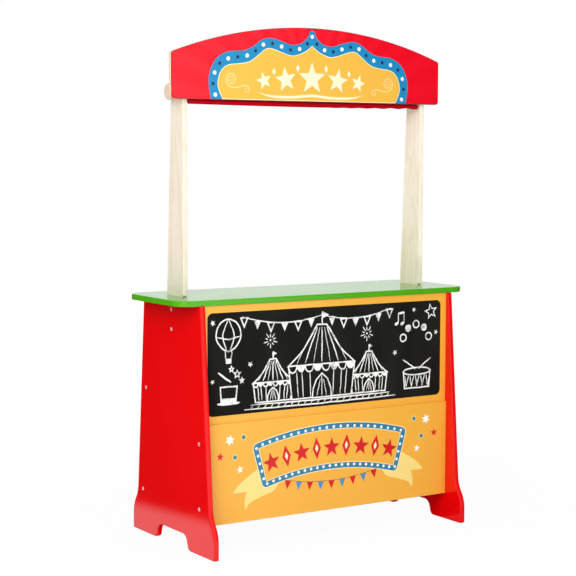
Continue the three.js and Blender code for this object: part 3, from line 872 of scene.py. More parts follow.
class STAND_OT_lower_front(bpy.types.Operator):
    """Lower front board with its marquee frame, ribbon tails, pennants and stars"""

    bl_idname = "stand.lower_front"
    bl_label = "Lower Front Board"

    def bent(self, points, prints):
        """Points measured along and across the frame's middle arc, laid on that arc."""
        centre = prints.frame_top - prints.frame_high
        mid = (prints.frame_low + prints.frame_high) / 2
        laid = []
        for p in points:
            angle, radius = p.x / mid, mid + p.y
            laid.append(Vector((radius * math.sin(angle), centre + radius * math.cos(angle))))
        return laid

    def ribbon_tail(self):
        upper = smooth_path([(0.172, 0.110), (0.207, 0.090), (0.2285, 0.0745), (0.2405, 0.0612)])
        notch = smooth_path([(0.2405, 0.0612), (0.225, 0.0608), (0.208, 0.0612)])
        side = smooth_path([(0.208, 0.0612), (0.2125, 0.0425), (0.2105, 0.0230)])
        lower = smooth_path([(0.2105, 0.0230), (0.1995, 0.0372), (0.1690, 0.0482), (0.1435, 0.0560),
                             (0.1310, 0.0695)])
        return upper + notch[1:] + side[1:] + lower[1:]

    def frame_shapes(self, prints):
        outer_line, inner_line, inner_corner, longest = 0.0014, 0.0012, 0.0015, 0.008
        half, tall = prints.frame_half, (prints.frame_high - prints.frame_low) / 2
        outer = rectangle(-half, -tall, half, tall, prints.frame_corner)
        inner = moved_in(outer, prints.frame_band)
        inner = rectangle(min(p.x for p in inner), min(p.y for p in inner),
                          max(p.x for p in inner), max(p.y for p in inner), inner_corner)
        layers = [("cream", moved_in(outer, -outer_line)), ("frame_blue", outer),
                  ("cream", inner), ("board_yellow", moved_in(inner, inner_line))]
        shapes = [(ink, self.bent(refined(points, longest), prints)) for ink, points in layers]
        line = moved_in(outer, prints.frame_band / 2)
        line.append(line[0])
        step = path_length(line) / prints.frame_bulbs
        for spot in along(line, [(i + 0.5) * step for i in range(prints.frame_bulbs)]):
            shapes.append(("bulb_white", disc(self.bent([spot], prints)[0], prints.frame_bulb, 14)))
        return shapes

    def ornament_row(self, prints):
        """Stars and diamonds in a row along the frame."""
        spacing = 0.0375
        shapes = []
        for i in range(-4, 5):
            across = i * spacing
            if i % 2 == 0:
                shapes.append(("print_red", self.bent(star((across, -0.002), 0.0215), prints)))
            else:
                shapes.append(("print_red", self.bent(diamond((across, 0), 0.0105, 0.0235), prints)))
                shapes.append(("cream", self.bent(diamond((across, 0), 0.0040, 0.0090), prints)))
        return shapes

    def pennants(self):
        """Pennants on a string; each leans a little outwards."""
        half, low, rise, width, drop = 0.1145, 0.0622, 0.0124, 0.0082, 0.0185
        spacing, lean, thick = 0.0270, 0.00075, 0.0011

        def on_string(x):
            return Vector((x, low + rise * (x / half) ** 2))

        string = [on_string(half * i / 20) for i in range(-20, 21)]
        shapes = []
        for i in range(-4, 5):
            x = i * spacing
            tip = on_string(x) + Vector((lean * i, -drop))
            flag = [tip, on_string(x + width), on_string(x - width)]
            shapes.append(("print_blue" if i % 2 else "print_red", flag))
        return shapes + [("cord_brown", stroke(string, thick))]

    def stars_and_dots(self, sign):
        halo, dot = 0.0062, 0.0046
        shapes = [
            ("bulb_white", star((sign * 0.2467, 0.1700), 0.0112, 6, 0.50, 0.2 * sign)),
            ("print_red", star((sign * 0.2695, 0.1385), 0.0092, 5, 0.42, 0.1 * sign)),
            ("bulb_white", star((sign * 0.2232, 0.1077), 0.0080, 5, 0.48, -0.15 * sign)),
        ]
        for x, z in ((0.2147, 0.1735), (0.2350, 0.1342)):
            shapes.append(("ribbon", disc((sign * x, z), halo, 16)))
            shapes.append(("teal", disc((sign * x, z), dot, 16)))
        return shapes

    def execute(self, context):
        sizes, prints = settings().boards, settings().prints
        low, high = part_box("lower_front_board")
        tail = self.ribbon_tail()
        shapes = [("ribbon", tail), ("ribbon", mirrored(tail))]
        shapes += self.frame_shapes(prints) + self.ornament_row(prints) + self.pennants()
        shapes += self.stars_and_dots(-1) + self.stars_and_dots(1)
        names = ["board_yellow", *dict.fromkeys(ink for ink, _ in shapes if ink != "board_yellow")]
        shapes = [(names.index(ink), in_board(points, low)) for ink, points in shapes]
        outline = rectangle(low.x, low.z, high.x, high.z)
        bm = board_mesh(outline, high.y - low.y, sizes.panel_round, shapes)
        piece = make_piece("printed_lower_board", bm, board_place(low, high, 1), inks(*names))
        tools = [panel_groove()]
        for side, _ in HANDS:
            tools += [bore(f"front_{level}_screw_{side}", 0, -SCREW_BITE) for level in ("lower", "upper")]
        cut(piece, tools)
        seat(piece, "stand", "yellow_paint", "lower_front_board")
        return {"FINISHED"}


class STAND_OT_chalkboard(bpy.types.Operator):
    """Thin upper panel: a black field in a yellow border, with chalk drawings of a fair"""

    bl_idname = "stand.chalkboard"
    bl_label = "Chalkboard"

    def pencil(self):
        """Functions that draw with chalk: open lines, closed shapes and filled ones."""
        width = settings().prints.chalk_line
        shaky = random.Random(4)
        tremor = 0.0003
        shapes = []

        def hand(points):
            return [p + Vector((shaky.gauss(0, tremor), shaky.gauss(0, tremor))) for p in points]

        def line(keys, thick=1.0, curved=True):
            path = smooth_path(keys) if curved and len(keys) > 2 else [Vector(k) for k in keys]
            path = [path[0].lerp(path[-1], i / 6) for i in range(7)] if len(path) == 2 else path
            shapes.append(("chalk", stroke(hand(path), width * thick, 0.5)))

        def shape(points, thick=1.0):
            points = counter_clockwise(hand(points))
            shapes.append(("chalk", moved_in(points, -width * thick / 2)))
            shapes.append(("slate", moved_in(points, width * thick / 2)))

        def solid(points):
            shapes.append(("chalk", counter_clockwise(hand(points))))

        return shapes, line, shape, solid

    def tent(self, line, shape, solid, x, z, size):
        """A round tent with a striped roof, a scalloped valance, a door and a flag."""
        half, wall, eaves, peak = 0.062 * size, 0.052 * size, 0.011 * size, 0.062 * size
        base = z - wall
        walls = [(x - 0.9 * half, base), (x + 0.9 * half, base), (x + half, z), (x - half, z)]
        shape(refined([Vector(p) for p in walls], 0.02))
        for share in (-0.76, -0.60, -0.36, 0.36, 0.60, 0.76):
            line([(x + share * 0.93 * half, base + 0.003), (x + share * half, z - eaves)], 0.7)
        keys = [(x - half, z), (x - 0.55 * half, z + 0.40 * peak), (x - 0.14 * half, z + peak)]
        slope = smooth_path(keys, 3)
        shape(slope + [Vector((2 * x - p.x, p.y)) for p in reversed(slope)])
        for i in range(-3, 4):
            foot, head = (x + i * half / 4, z + 0.004), (x + i * half / 14, z + 0.93 * peak)
            waist = (x + i * 0.18 * half, z + 0.42 * peak)
            line([foot, waist, head], 0.5 if i % 2 else 0.9)
        for i in range(8):
            across = x - half + (i + 0.5) * half / 4
            scallop = [Vector((across + half / 8 * math.cos(a), z + eaves * math.sin(a)))
                       for a in (math.pi * (1 + k / 8) for k in range(9))]
            (solid if i % 2 else shape)(scallop)
        left = [(-0.018, 0.0), (-0.0165, 0.014), (-0.0105, 0.028)]
        door = [*left, (0.0, 0.037), *((-across, up) for across, up in reversed(left))]
        shape([Vector((x + size * across, base + size * up)) for across, up in door])
        for share in (-0.5, 0.0, 0.5):
            foot = (x + share * 0.018 * size, base + 0.003)
            line([(x + share * 0.006 * size, base + (0.034 - 0.012 * abs(share)) * size), foot], 0.6)
        top = z + peak
        line([(x, top), (x, top + 0.020 * size)])
        flag = ((0.0, 0.021), (0.0, 0.009), (0.013, 0.0145))
        solid([Vector((x + size * across, top + size * up)) for across, up in flag])

    def balloon(self, line, shape, solid, x, z, radius):
        """A hot-air balloon with gores and a basket."""
        body = [Vector((x + radius * math.sin(a) * (1 - 0.28 * max(0.0, -math.cos(a)) ** 2),
                        z + 1.12 * radius * math.cos(a))) for a in (2 * math.pi * i / 28 for i in range(28))]
        shape(body)
        for share in (-0.45, 0.45):
            line([(x + 0.1 * share * radius, z + 1.05 * radius), (x + share * radius, z),
                  (x + 0.35 * share * radius, z - 1.02 * radius)], 0.8)
        waist = z - 0.1 * radius
        line([(x - 0.93 * radius, waist), (x, waist - 0.18 * radius), (x + 0.93 * radius, waist)], 0.8)
        basket = z - 1.62 * radius
        for share in (-0.22, 0.22):
            line([(x + 1.3 * share * radius, z - 1.04 * radius), (x + share * radius, basket)], 0.7)
        half = 0.24 * radius
        solid([Vector((x - half, basket)), Vector((x - 0.8 * half, basket - 0.36 * radius)),
               Vector((x + 0.8 * half, basket - 0.36 * radius)), Vector((x + half, basket))])

    def top_hat(self, line, shape, solid, x, z, half):
        """A magician's hat with a wand and a puff of stars."""
        crown = [(x - 0.62 * half, z), (x + 0.62 * half, z), (x + 0.72 * half, z + 1.25 * half),
                 (x - 0.72 * half, z + 1.25 * half)]
        shape(refined([Vector(p) for p in crown], 0.012))
        band = [(x - 0.64 * half, z + 0.10 * half), (x + 0.64 * half, z + 0.10 * half),
                (x + 0.67 * half, z + 0.38 * half), (x - 0.67 * half, z + 0.38 * half)]
        solid([Vector(p) for p in band])
        solid(oval((x, z), half, 0.13 * half))
        line([(x - 0.9 * half, z + 2.35 * half), (x + 0.2 * half, z + 1.55 * half)], 1.3)
        for dx, dz, size in ((0.75, 2.15, 0.30), (0.25, 2.55, 0.20), (1.15, 1.65, 0.18)):
            shape(star((x + dx * half, z + dz * half), size * half, 5, 0.45), 0.7)

    def drum(self, line, shape, solid, x, z, half):
        """A drum with lacing and two sticks."""
        body = [(x - half, z), (x - 0.9 * half, z - half), (x + 0.9 * half, z - half), (x + half, z)]
        shape(refined([Vector(p) for p in body], 0.012))
        for i in range(5):
            low = (x - 0.8 * half + i * 0.4 * half, z - 0.92 * half)
            line([(x - 0.9 * half + i * 0.4 * half, z - 0.25 * half), low], 0.7)
            line([low, (x - 0.62 * half + i * 0.4 * half, z - 0.25 * half)], 0.7)
        shape(oval((x, z), half, 0.22 * half))
        for sign in (-1, 1):
            line([(x + sign * 1.05 * half, z + 0.75 * half), (x + sign * 0.2 * half, z + 0.22 * half)], 0.9)
            solid(disc((x + sign * 0.18 * half, z + 0.20 * half), 0.0026, 10))

    def note(self, line, solid, x, z):
        """Two quavers on one beam."""
        head = [Vector((0.0052 * math.cos(a), 0.0038 * math.sin(a) + 0.0016 * math.cos(a)))
                for a in (2 * math.pi * i / 14 for i in range(14))]
        for dx in (0.0, 0.015):
            solid([Vector((x + dx, z)) + p for p in head])
            line([(x + dx + 0.0045, z), (x + dx + 0.0045, z + 0.022)], 0.7)
        line([(x + 0.0035, z + 0.0215), (x + 0.0205, z + 0.0235)], 1.6)

    def swag(self, line, shape, solid, start, end, sag, count):
        """Pennants on a string that sags from a pole to a nail."""
        shares = [i / 12 for i in range(13)]
        string = [Vector(start).lerp(Vector(end), s) - Vector((0, 4 * sag * s * (1 - s))) for s in shares]
        line(string[::3], 0.8)
        long = path_length(string)
        for i, spot in enumerate(along(string, [long * (k + 0.85) / count for k in range(count)])):
            flag = [spot + Vector(corner) for corner in ((-0.0080, -0.001), (0, -0.0185), (0.0080, -0.001))]
            (shape if i % 2 else solid)(flag)

    def burst(self, line, solid, x, z, size):
        """A firework: strokes that fly apart from a dot."""
        centre = Vector((x, z))
        solid(disc(centre, 0.13 * size, 10))
        for i in range(10):
            angle = math.pi * (0.1 + i / 5)
            way = Vector((math.cos(angle), math.sin(angle))) * size
            line([centre + way * 0.38, centre + way * (1.0 if i % 2 else 0.75)], 0.7)

    def ground(self, line, left, right, height):
        """A double ground line with hatching under it."""
        half_way = (left + right) / 2
        line([(left, height), (half_way, height - 0.0015), (right, height)])
        line([(left - 0.014, height - 0.0085), (half_way, height - 0.010), (right + 0.016, height - 0.0080)])
        for i in range(22):
            x = left + 0.004 + (right - left - 0.008) * i / 21
            line([(x + 0.002, height - 0.002), (x - 0.003, height - 0.0075)], 0.55)

    def execute(self, context):
        prints = settings().prints
        low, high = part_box("chalkboard_panel")
        shown_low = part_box("lower_front_board")[1].z
        shown_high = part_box("side_board_left")[1].z
        shown_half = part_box("side_board_right")[0].x
        left, right = prints.slate_left - shown_half, shown_half - prints.slate_right
        bottom, top = shown_low + prints.slate_low, shown_high - prints.slate_high
        shapes, line, shape, solid = self.pencil()
        shapes.append(("slate", rectangle(left, bottom, right, top, prints.slate_corner)))
        centre = (bottom + top) / 2
        pole = (-0.022, top - 0.017)
        self.swag(line, shape, solid, pole, (-0.215, top - 0.011), 0.013, 6)
        self.swag(line, shape, solid, pole, (0.155, top - 0.011), 0.013, 6)
        for x in (-0.142, 0.098):
            self.tent(line, shape, solid, x, bottom + 0.060, 0.76)
            self.burst(line, solid, x - 0.006, bottom + 0.146, 0.017)
        self.tent(line, shape, solid, -0.022, bottom + 0.089, 1.33)
        self.ground(line, -0.196, 0.152, bottom + 0.0165)
        self.balloon(line, shape, solid, -0.247, top - 0.046, 0.029)
        self.top_hat(line, shape, solid, -0.247, bottom + 0.024, 0.027)
        self.drum(line, shape, solid, 0.225, bottom + 0.056, 0.036)
        self.note(line, solid, 0.170, top - 0.046)
        for i in range(5):
            angle = math.pi * (0.10 + 0.20 * i)
            spot = (0.222 + 0.036 * math.cos(angle), bottom + 0.118 + 0.040 * math.sin(angle))
            (solid if i % 2 else shape)(disc(spot, 0.0078, 16))
        shape(star((0.262, top - 0.024), 0.015, 5, 0.45, 0.2), 0.8)
        for x, z, size in ((-0.283, 0.084, 0.0065), (-0.196, -0.004, 0.0065), (-0.284, -0.034, 0.0055),
                           (0.166, -0.004, 0.0065), (0.276, 0.034, 0.0060), (0.216, 0.086, 0.0055)):
            solid(star((x, centre + z), size, 5, 0.45, 3 * x))
        names = ["board_yellow", "slate", "chalk"]
        shapes = [(names.index(ink), points) for ink, points in shapes]
        paints = settings().paints
        materials = [*inks("board_yellow"), slate_paint("slate", paints.slate),
                     chalk_mark("chalk", paints.chalk, paints.slate)]
        arris = 0.0003
        bm = board_mesh(rectangle(low.x, low.z, high.x, high.z), high.y - low.y, arris, shapes)
        piece = make_piece("chalk_panel", bm, board_place(low, high, 1), materials)
        seat(piece, "stand", "chalkboard", "chalkboard_panel")
        return {"FINISHED"}


class STAND_OT_shelves(bpy.types.Operator):
    """Two painted shelves between the sides"""

    bl_idname = "stand.shelves"
    bl_label = "Shelves"

    def execute(self, context):
        edge_round = settings().boards.panel_round
        paint = gloss_paint("shelf_yellow", settings().paints.shelf_yellow)
        for shelf in SHELVES:
            low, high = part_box(shelf)
            bm = board_mesh(rectangle(low.x, low.y, high.x, high.y), high.z - low.z, edge_round)
            piece = make_piece(f"painted_{shelf}", bm, board_place(low, high, 2), [paint])
            tools = [bore(f"{shelf}_{kind}_{side}", 0, clearance) for side, _ in HANDS
                     for kind, clearance in (("screw", -SCREW_BITE), ("dowel", GAP))]
            cut(piece, tools)
            seat(piece, "stand", "yellow_paint", shelf)
        return {"FINISHED"}


class STAND_OT_posts(bpy.types.Operator):
    """Two posts of pale wood, tapered at the back and bored for the rod"""

    bl_idname = "stand.posts"
    bl_label = "Posts"

    def execute(self, context):
        sizes = settings().boards
        bend = 0.25             # radius where the back edge starts and ends its taper
        counter_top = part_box("counter_top")[1].z
        header_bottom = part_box("header_board")[0].z
        for side, _ in HANDS:
            low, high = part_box(f"post_{side}")
            outline = rounded_outline([
                (low.y + sizes.shoulder_depth, low.z, sizes.post_low_round),
                (high.y, low.z, sizes.post_low_round),
                (high.y, counter_top, bend),
                (sizes.post_top_reach, header_bottom, bend),
                (sizes.post_top_reach, high.z, sizes.post_top_round),
                (low.y, high.z, sizes.post_top_round),
                (low.y, counter_top + sizes.shoulder_lift, 0),
                (low.y + sizes.shoulder_depth, counter_top + sizes.shoulder_lift, 0),
            ])
            bm = board_mesh(outline, high.x - low.x, sizes.post_round)
            # The left post's copy of the wood is darkened as painted shade
            painted_shade = 0.88 if side == "left" else 1.0
            piece = make_piece(f"wooden_post_{side}", bm, board_place(low, high, 0), [wood("Z", side, painted_shade)])
            tools = [bore("curtain_rod", 0)]
            tools += [bore(name, 1, -HEADER_SCREW_BITE) for name in header_screws(side)]
            tools += [bore(f"post_{level}_screw_{side}", 0, -SCREW_BITE) for level in ("lower", "upper")]
            cut(piece, tools)
            seat(piece, "stand", "pale_wood", f"post_{side}")
        return {"FINISHED"}


class STAND_OT_header(bpy.types.Operator):
    """Arched header with a scalloped marquee plaque on a red ground"""

    bl_idname = "stand.header"
    bl_label = "Header"

    band_outside = ((0.2445, 0.0), (0.2495, 0.0360), (0.2435, 0.0635), (0.2290, 0.0845), (0.2030, 0.0975),
                    (0.1700, 0.1005), (0.1475, 0.1080), (0.1250, 0.1230), (0.1030, 0.1285), (0.0770, 0.1235),
                    (0.0510, 0.1165), (0.0285, 0.1200), (0.0115, 0.1330), (0.0062, 0.1450), (0.0, 0.1482))
    band_inside = ((0.2165, 0.0), (0.2270, 0.0230), (0.2275, 0.0400), (0.2195, 0.0595), (0.2030, 0.0710),
                   (0.1720, 0.0750), (0.1515, 0.0800), (0.1320, 0.0930), (0.1150, 0.1053), (0.1030, 0.1078),
                   (0.0865, 0.1042), (0.0635, 0.0970), (0.0465, 0.0945), (0.0300, 0.0985), (0.0130, 0.1065),
                   (0.0, 0.1165))

    def whole(self, half):
        return half + mirrored(half)[1:]

    def scroll(self):
        """A large curl, a tail and a small curl, as the middle line of a thin stroke."""
        across, up = 0.1960, 0.0420
        keys = []
        for step in range(19):
            angle = math.radians(1 - 42 * step)
            radius = 0.0015 + 0.00064 * step
            keys.append((across + radius * math.cos(angle), up + radius * math.sin(angle)))
        keys += [(0.2000, 0.0278), (0.1900, 0.0252), (0.1800, 0.0264), (0.1710, 0.0288), (0.1630, 0.0292),
                 (0.1555, 0.0265), (0.1534, 0.0215), (0.1565, 0.0172), (0.1615, 0.0176), (0.1636, 0.0213),
                 (0.1610, 0.0240), (0.1586, 0.0224)]
        return smooth_path(keys, 5)

    def bulbs(self, outside, inside, prints):
        """Lit and unlit bulbs by turns along the middle of the band, and a lit one at its peak."""
        count, first, unused, peak = 14, 0.010, 0.029, 0.1350
        outer, inner = path_length(outside), path_length(inside)
        shares = [(first + (outer - unused) * i / (count - 1)) / outer for i in range(count)]
        middles = [a.lerp(b, 0.5) for a, b in zip(along(outside, [s * outer for s in shares]),
                                                  along(inside, [s * inner for s in shares]))]
        shapes = [("bulb_white", disc((0, peak), prints.bulb))]
        for i, spot in enumerate(middles):
            ink, radius = ("bulb_navy", prints.dim_bulb) if i % 2 else ("bulb_white", prints.bulb)
            shapes += [(ink, disc(spot, radius)), (ink, disc((-spot.x, spot.y), radius))]
        return shapes

    def stars(self):
        """Stars in a falling row, with diamonds between and a flourish below."""
        shapes = [("cream", star((0, 0.0480), 0.0340, 5, 0.42))]
        for sign in (-1, 1):
            shapes.append(("cream", star((sign * 0.0650, 0.0445), 0.0265, 5, 0.42, -0.16 * sign)))
            shapes.append(("cream", star((sign * 0.1180, 0.0410), 0.0190, 5, 0.42, -0.28 * sign)))
            shapes.append(("cream", diamond((sign * 0.0355, 0.0690), 0.0045, 0.0085)))
            shapes.append(("cream", diamond((sign * 0.0940, 0.0600), 0.0040, 0.0075)))
        keys = [(-0.132, 0.0165), (-0.100, 0.0095), (-0.050, 0.0085), (0.0, 0.0125),
                (0.050, 0.0085), (0.100, 0.0095), (0.132, 0.0165)]
        shapes.append(("cream", stroke(smooth_path(keys), 0.0052, 0.95)))
        return shapes

    def print_shapes(self, prints, lift):
        outside, inside = smooth_path(self.band_outside), smooth_path(self.band_inside)
        outside, inside = ([Vector((p.x, max(p.y, lift))) for p in path] for path in (outside, inside))
        field = moved_in(counter_clockwise(self.whole(inside)), prints.cream_line)
        field = [Vector((p.x, max(p.y, lift))) for p in field]
        curl = stroke(self.scroll(), 0.0017, 0.5)
        shapes = [("band_blue", self.whole(outside)), ("cream", self.whole(inside)), ("plaque_yellow", field)]
        shapes += self.bulbs(outside, inside, prints) + self.stars()
        return shapes + [("scroll", curl), ("scroll", mirrored(curl))]

    def outline(self, sizes, low, high):
        half, side, rise = high.x, sizes.header_side, high.z - low.z - sizes.header_side
        radius = (half ** 2 + rise ** 2) / (2 * rise)
        reach = math.asin(half / radius)
        count = 90
        crown = [(radius * math.sin(a), side + rise - radius + radius * math.cos(a), 0)
                 for a in (reach * (1 - 2 * i / count) for i in range(3, count - 2))]
        corner = sizes.header_corner
        points = rounded_outline([(-half, 0, corner), (half, 0, corner), (half, side, corner), *crown,
                                  (-half, side, corner)])
        return in_board(points, low)

    def execute(self, context):
        sizes, prints, paints = settings().boards, settings().prints, settings().paints
        low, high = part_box("header_board")
        lift = sizes.panel_round + 0.00002
        shapes = self.print_shapes(prints, lift)
        # The arris round the print is inked dark as painted shade
        names = ["header_ground", "edge_wood", "header_rim", *dict.fromkeys(ink for ink, _ in shapes)]
        shapes = [(names.index(ink), in_board(points, low)) for ink, points in shapes]
        bm = board_mesh(self.outline(sizes, low, high), high.y - low.y, sizes.panel_round, shapes,
                        edge_ink=names.index("edge_wood"), rim_ink=names.index("header_rim"))
        materials = [sunburst_ink("header_ground", paints.header_red, paints.header_ray),
                     gloss_paint("edge_lacquer", paints.edge_wood), *inks(*names[2:])]
        piece = make_piece("printed_header", bm, board_place(low, high, 1), materials)
        cut(piece, [bore(name, 1, -HEADER_SCREW_BITE) for side, _ in HANDS for name in header_screws(side)])
        seat(piece, "stand", "header_paint", "header_board")
        return {"FINISHED"}


class STAND_OT_roller(bpy.types.Operator):
    """Wooden rod with a turned knob on each end"""

    bl_idname = "stand.roller"
    bl_label = "Roller"

    def knob_profile(self, radius, thickness, bore_radius, bore_depth):
        rim, crown, dish, steps = 0.0010, 0.0048, 0.0006, 12
        profile = [(0, bore_depth), (bore_radius, bore_depth), (bore_radius, 0),
                   (radius - rim, 0), (radius, rim)]
        for step in range(steps + 1):
            angle = math.pi / 2 * step / steps
            profile.append((radius - crown + crown * math.cos(angle),
                            thickness - crown + crown * math.sin(angle)))
        return profile + [(radius * 0.35, thickness - dish), (0, thickness - dish)]

    def execute(self, context):
        low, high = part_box("curtain_rod")
        radius, half, chamfer = (high.z - low.z) / 2, high.x, 0.0008
        centre = middle("curtain_rod")
        rod = make_piece("wooden_rod", turned_mesh(bar_profile(radius, -half, half, chamfer), 48),
                         Matrix.Translation(centre) @ facing((1, 0, 0)), [wood("X")])
        seat(rod, "roller", "pale_wood", "curtain_rod")
        tint = settings().paints.knob_wood
        knob_wood = clear_wood("knob_wood", tint, [channel * 0.9 for channel in tint], "Y")
        for side, sign in HANDS:
            low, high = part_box(f"rod_knob_{side}")
            inner = side_face(f"rod_knob_{side}", sign, min).x
            profile = self.knob_profile((high.z - low.z) / 2, high.x - low.x, radius + GAP,
                                        half + GAP - abs(inner))
            place = Matrix.Translation((inner, centre.y, centre.z)) @ facing((sign, 0, 0))
            knob = make_piece(f"wooden_knob_{side}", turned_mesh(profile, 72), place, [knob_wood])
            seat(knob, "roller", "pale_wood", f"rod_knob_{side}")
        return {"FINISHED"}


# Columns of the cloth's mesh across its width
COLUMNS = 90


class STAND_OT_curtain(bpy.types.Operator):
    """Red cloth wound on the rod, the length that hangs from it and its weighted hem"""

    bl_idname = "stand.curtain"
    bl_label = "Curtain"

    def roll_radius(self, x, half, full, sizes):
        """The outer radius of the roll, as uneven as rolled cloth is."""
        turn = 2 * math.pi * x / sizes.ripple_length
        wave = 0.5 * math.sin(turn) + 0.3 * math.sin(1.7 * turn + 1.3) + 0.2 * math.sin(3.1 * turn + 0.4)
        ripple = sizes.ripple * (1 + wave) / 2
        return full - ripple - sizes.end_taper * math.exp(-(half - abs(x)) / sizes.end_taper_length)

    def stations(self, half):
        """Places across the width, closer together where the roll tapers."""
        shares = [2 * i / COLUMNS - 1 for i in range(COLUMNS + 1)]
        return [half * math.copysign(1 - (1 - abs(s)) ** 1.5, s) for s in shares]

    def sheet_mesh(self, columns):
        """A closed thin sheet from columns of (middle point, half thickness vector)."""
        bm = bmesh.new()
        rings = []
        for column in columns:
            front = [bm.verts.new(p + offset) for p, offset in column]
            back = [bm.verts.new(p - offset) for p, offset in column]
            rings.append(front + back[::-1])
        for face in skin(bm, rings):
            face.smooth = True
        for ring in (rings[0], rings[-1]):
            rows = len(ring) // 2
            for i in range(rows - 1):
                bm.faces.new((ring[i], ring[i + 1], ring[-2 - i], ring[-1 - i]))
        bmesh.ops.recalc_face_normals(bm, faces=bm.faces)
        return bm

    def column(self, path, thickness):
        """Middle points with their half thickness, square to the path in the plane across the rod."""
        column = []
        for i, point in enumerate(path):
            run = (path[min(i + 1, len(path) - 1)] - path[max(i - 1, 0)]).normalized()
            column.append((point, Vector((0, -run.z, run.y)) * thickness / 2))
        return column

    def wound(self, axis, half, full, rod, cloth, sizes):
        """Turn upon turn round the rod, from the front of the roll inwards, with uneven edges at its ends."""
        over_rod, unevenness, stagger = 0.0006, 0.0005, 0.0011
        core = rod + over_rod + sizes.thickness / 2
        steps_per_turn = 40
        steps = int(sizes.turns * steps_per_turn)
        columns = []
        for x in self.stations(half):
            outer = self.roll_radius(x, half, full, sizes) - sizes.thickness / 2
            edge = stagger * (1 if x > 0 else -1) * (abs(x) / half) ** 8
            path = []
            for step in range(steps + 1):
                share = step / steps
                turn = 2 * math.pi * step / steps_per_turn
                wander = unevenness * noise.noise(Vector((30 * x, 1.2 * turn, 0.0))) * (1 - share)
                sag = sizes.slack * max(0.0, -math.sin(turn)) ** 2 if step < steps_per_turn else 0.0
                radius = outer + (core - outer) * share + wander + sag * (0.6 + 0.4 * math.sin(17 * x + 1))
                shift = edge * (math.sin(0.9 * turn + 1) - 1)
                path.append(axis + Vector((x + shift, -radius * math.cos(turn), radius * math.sin(turn))))
            columns.append(self.column(path, sizes.thickness))
        roll = make_piece("wound_cloth", self.sheet_mesh(columns), Matrix(), [cloth])
        seat(roll, "roller", "red_cloth", "curtain_roll")

    def cut_length(self, columns):
        """How long the cloth was cut: the mean of the columns in the middle of its width."""
        centre = len(columns) // 2
        central = columns[centre - 5:centre + 6]
        return sum(path_length([p for p, _ in column]) for column in central) / len(central)

    def hanging(self, axis, half, full, cloth, sizes):
        """Down from the front of the roll, round the hem bar and up again, a little uneven in length."""
        bar = middle("hem_bar")
        hem = sizes.hem_round
        rows, round_steps = 36, 28
        columns = []
        for x in self.stations(half):
            start = Vector((x, axis.y - self.roll_radius(x, half, full, sizes) + sizes.thickness / 2, axis.z))
            waist = Vector((x, bar.y, bar.z + hem))
            slack = 0.7 * math.cos(math.pi * x / (2 * half))
            droop = sizes.hem_droop * (slack + 0.45 * math.sin(150 * x - 21.4) * max(0.0, x / half))
            sway = 0.0006 * math.sin(23 * x)
            path = []
            for row in range(rows):
                share = row / rows
                ease = share * share * (3 - 2 * share)
                out = start.y + (waist.y - start.y) * ease + sway * math.sin(math.pi * share)
                path.append(Vector((x, out, start.z + (waist.z - start.z) * share)))
            for step in range(round_steps + 1):
                angle = math.pi / 2 + 1.93 * math.pi * step / round_steps
                down = droop * max(0.0, -math.sin(angle))
                path.append(Vector((x, bar.y + hem * math.cos(angle), bar.z + hem * math.sin(angle) - down)))
            columns.append(self.column(path, sizes.thickness))
        fall = make_piece("hanging_cloth", self.sheet_mesh(columns), Matrix(), [cloth])
        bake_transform(fall)
        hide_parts("curtain_drop", "curtain_hem")

    def execute(self, context):
        sizes = settings().curtain
        cloth = plain_weave("woven_cotton", settings().paints.cloth_red)
        axis = middle("curtain_rod")
        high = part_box("curtain_roll")[1]
        half, full = high.x, high.y - axis.y
        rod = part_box("curtain_rod")[1].z - axis.z
        near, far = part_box("hem_bar")
        profile = bar_profile((far.z - near.z) / 2, near.x, far.x, chamfer=0.0006)
        centre = middle("hem_bar")
        bar = make_piece("wooden_hem_bar", turned_mesh(profile, 28),
                         Matrix.Translation((0, centre.y, centre.z)) @ facing((1, 0, 0)), [wood("X")])
        seat(bar, "hem", "pale_wood", "hem_bar")
        self.wound(axis, half, full, rod, cloth, sizes)
        self.hanging(axis, half, full, cloth, sizes)
        return {"FINISHED"}


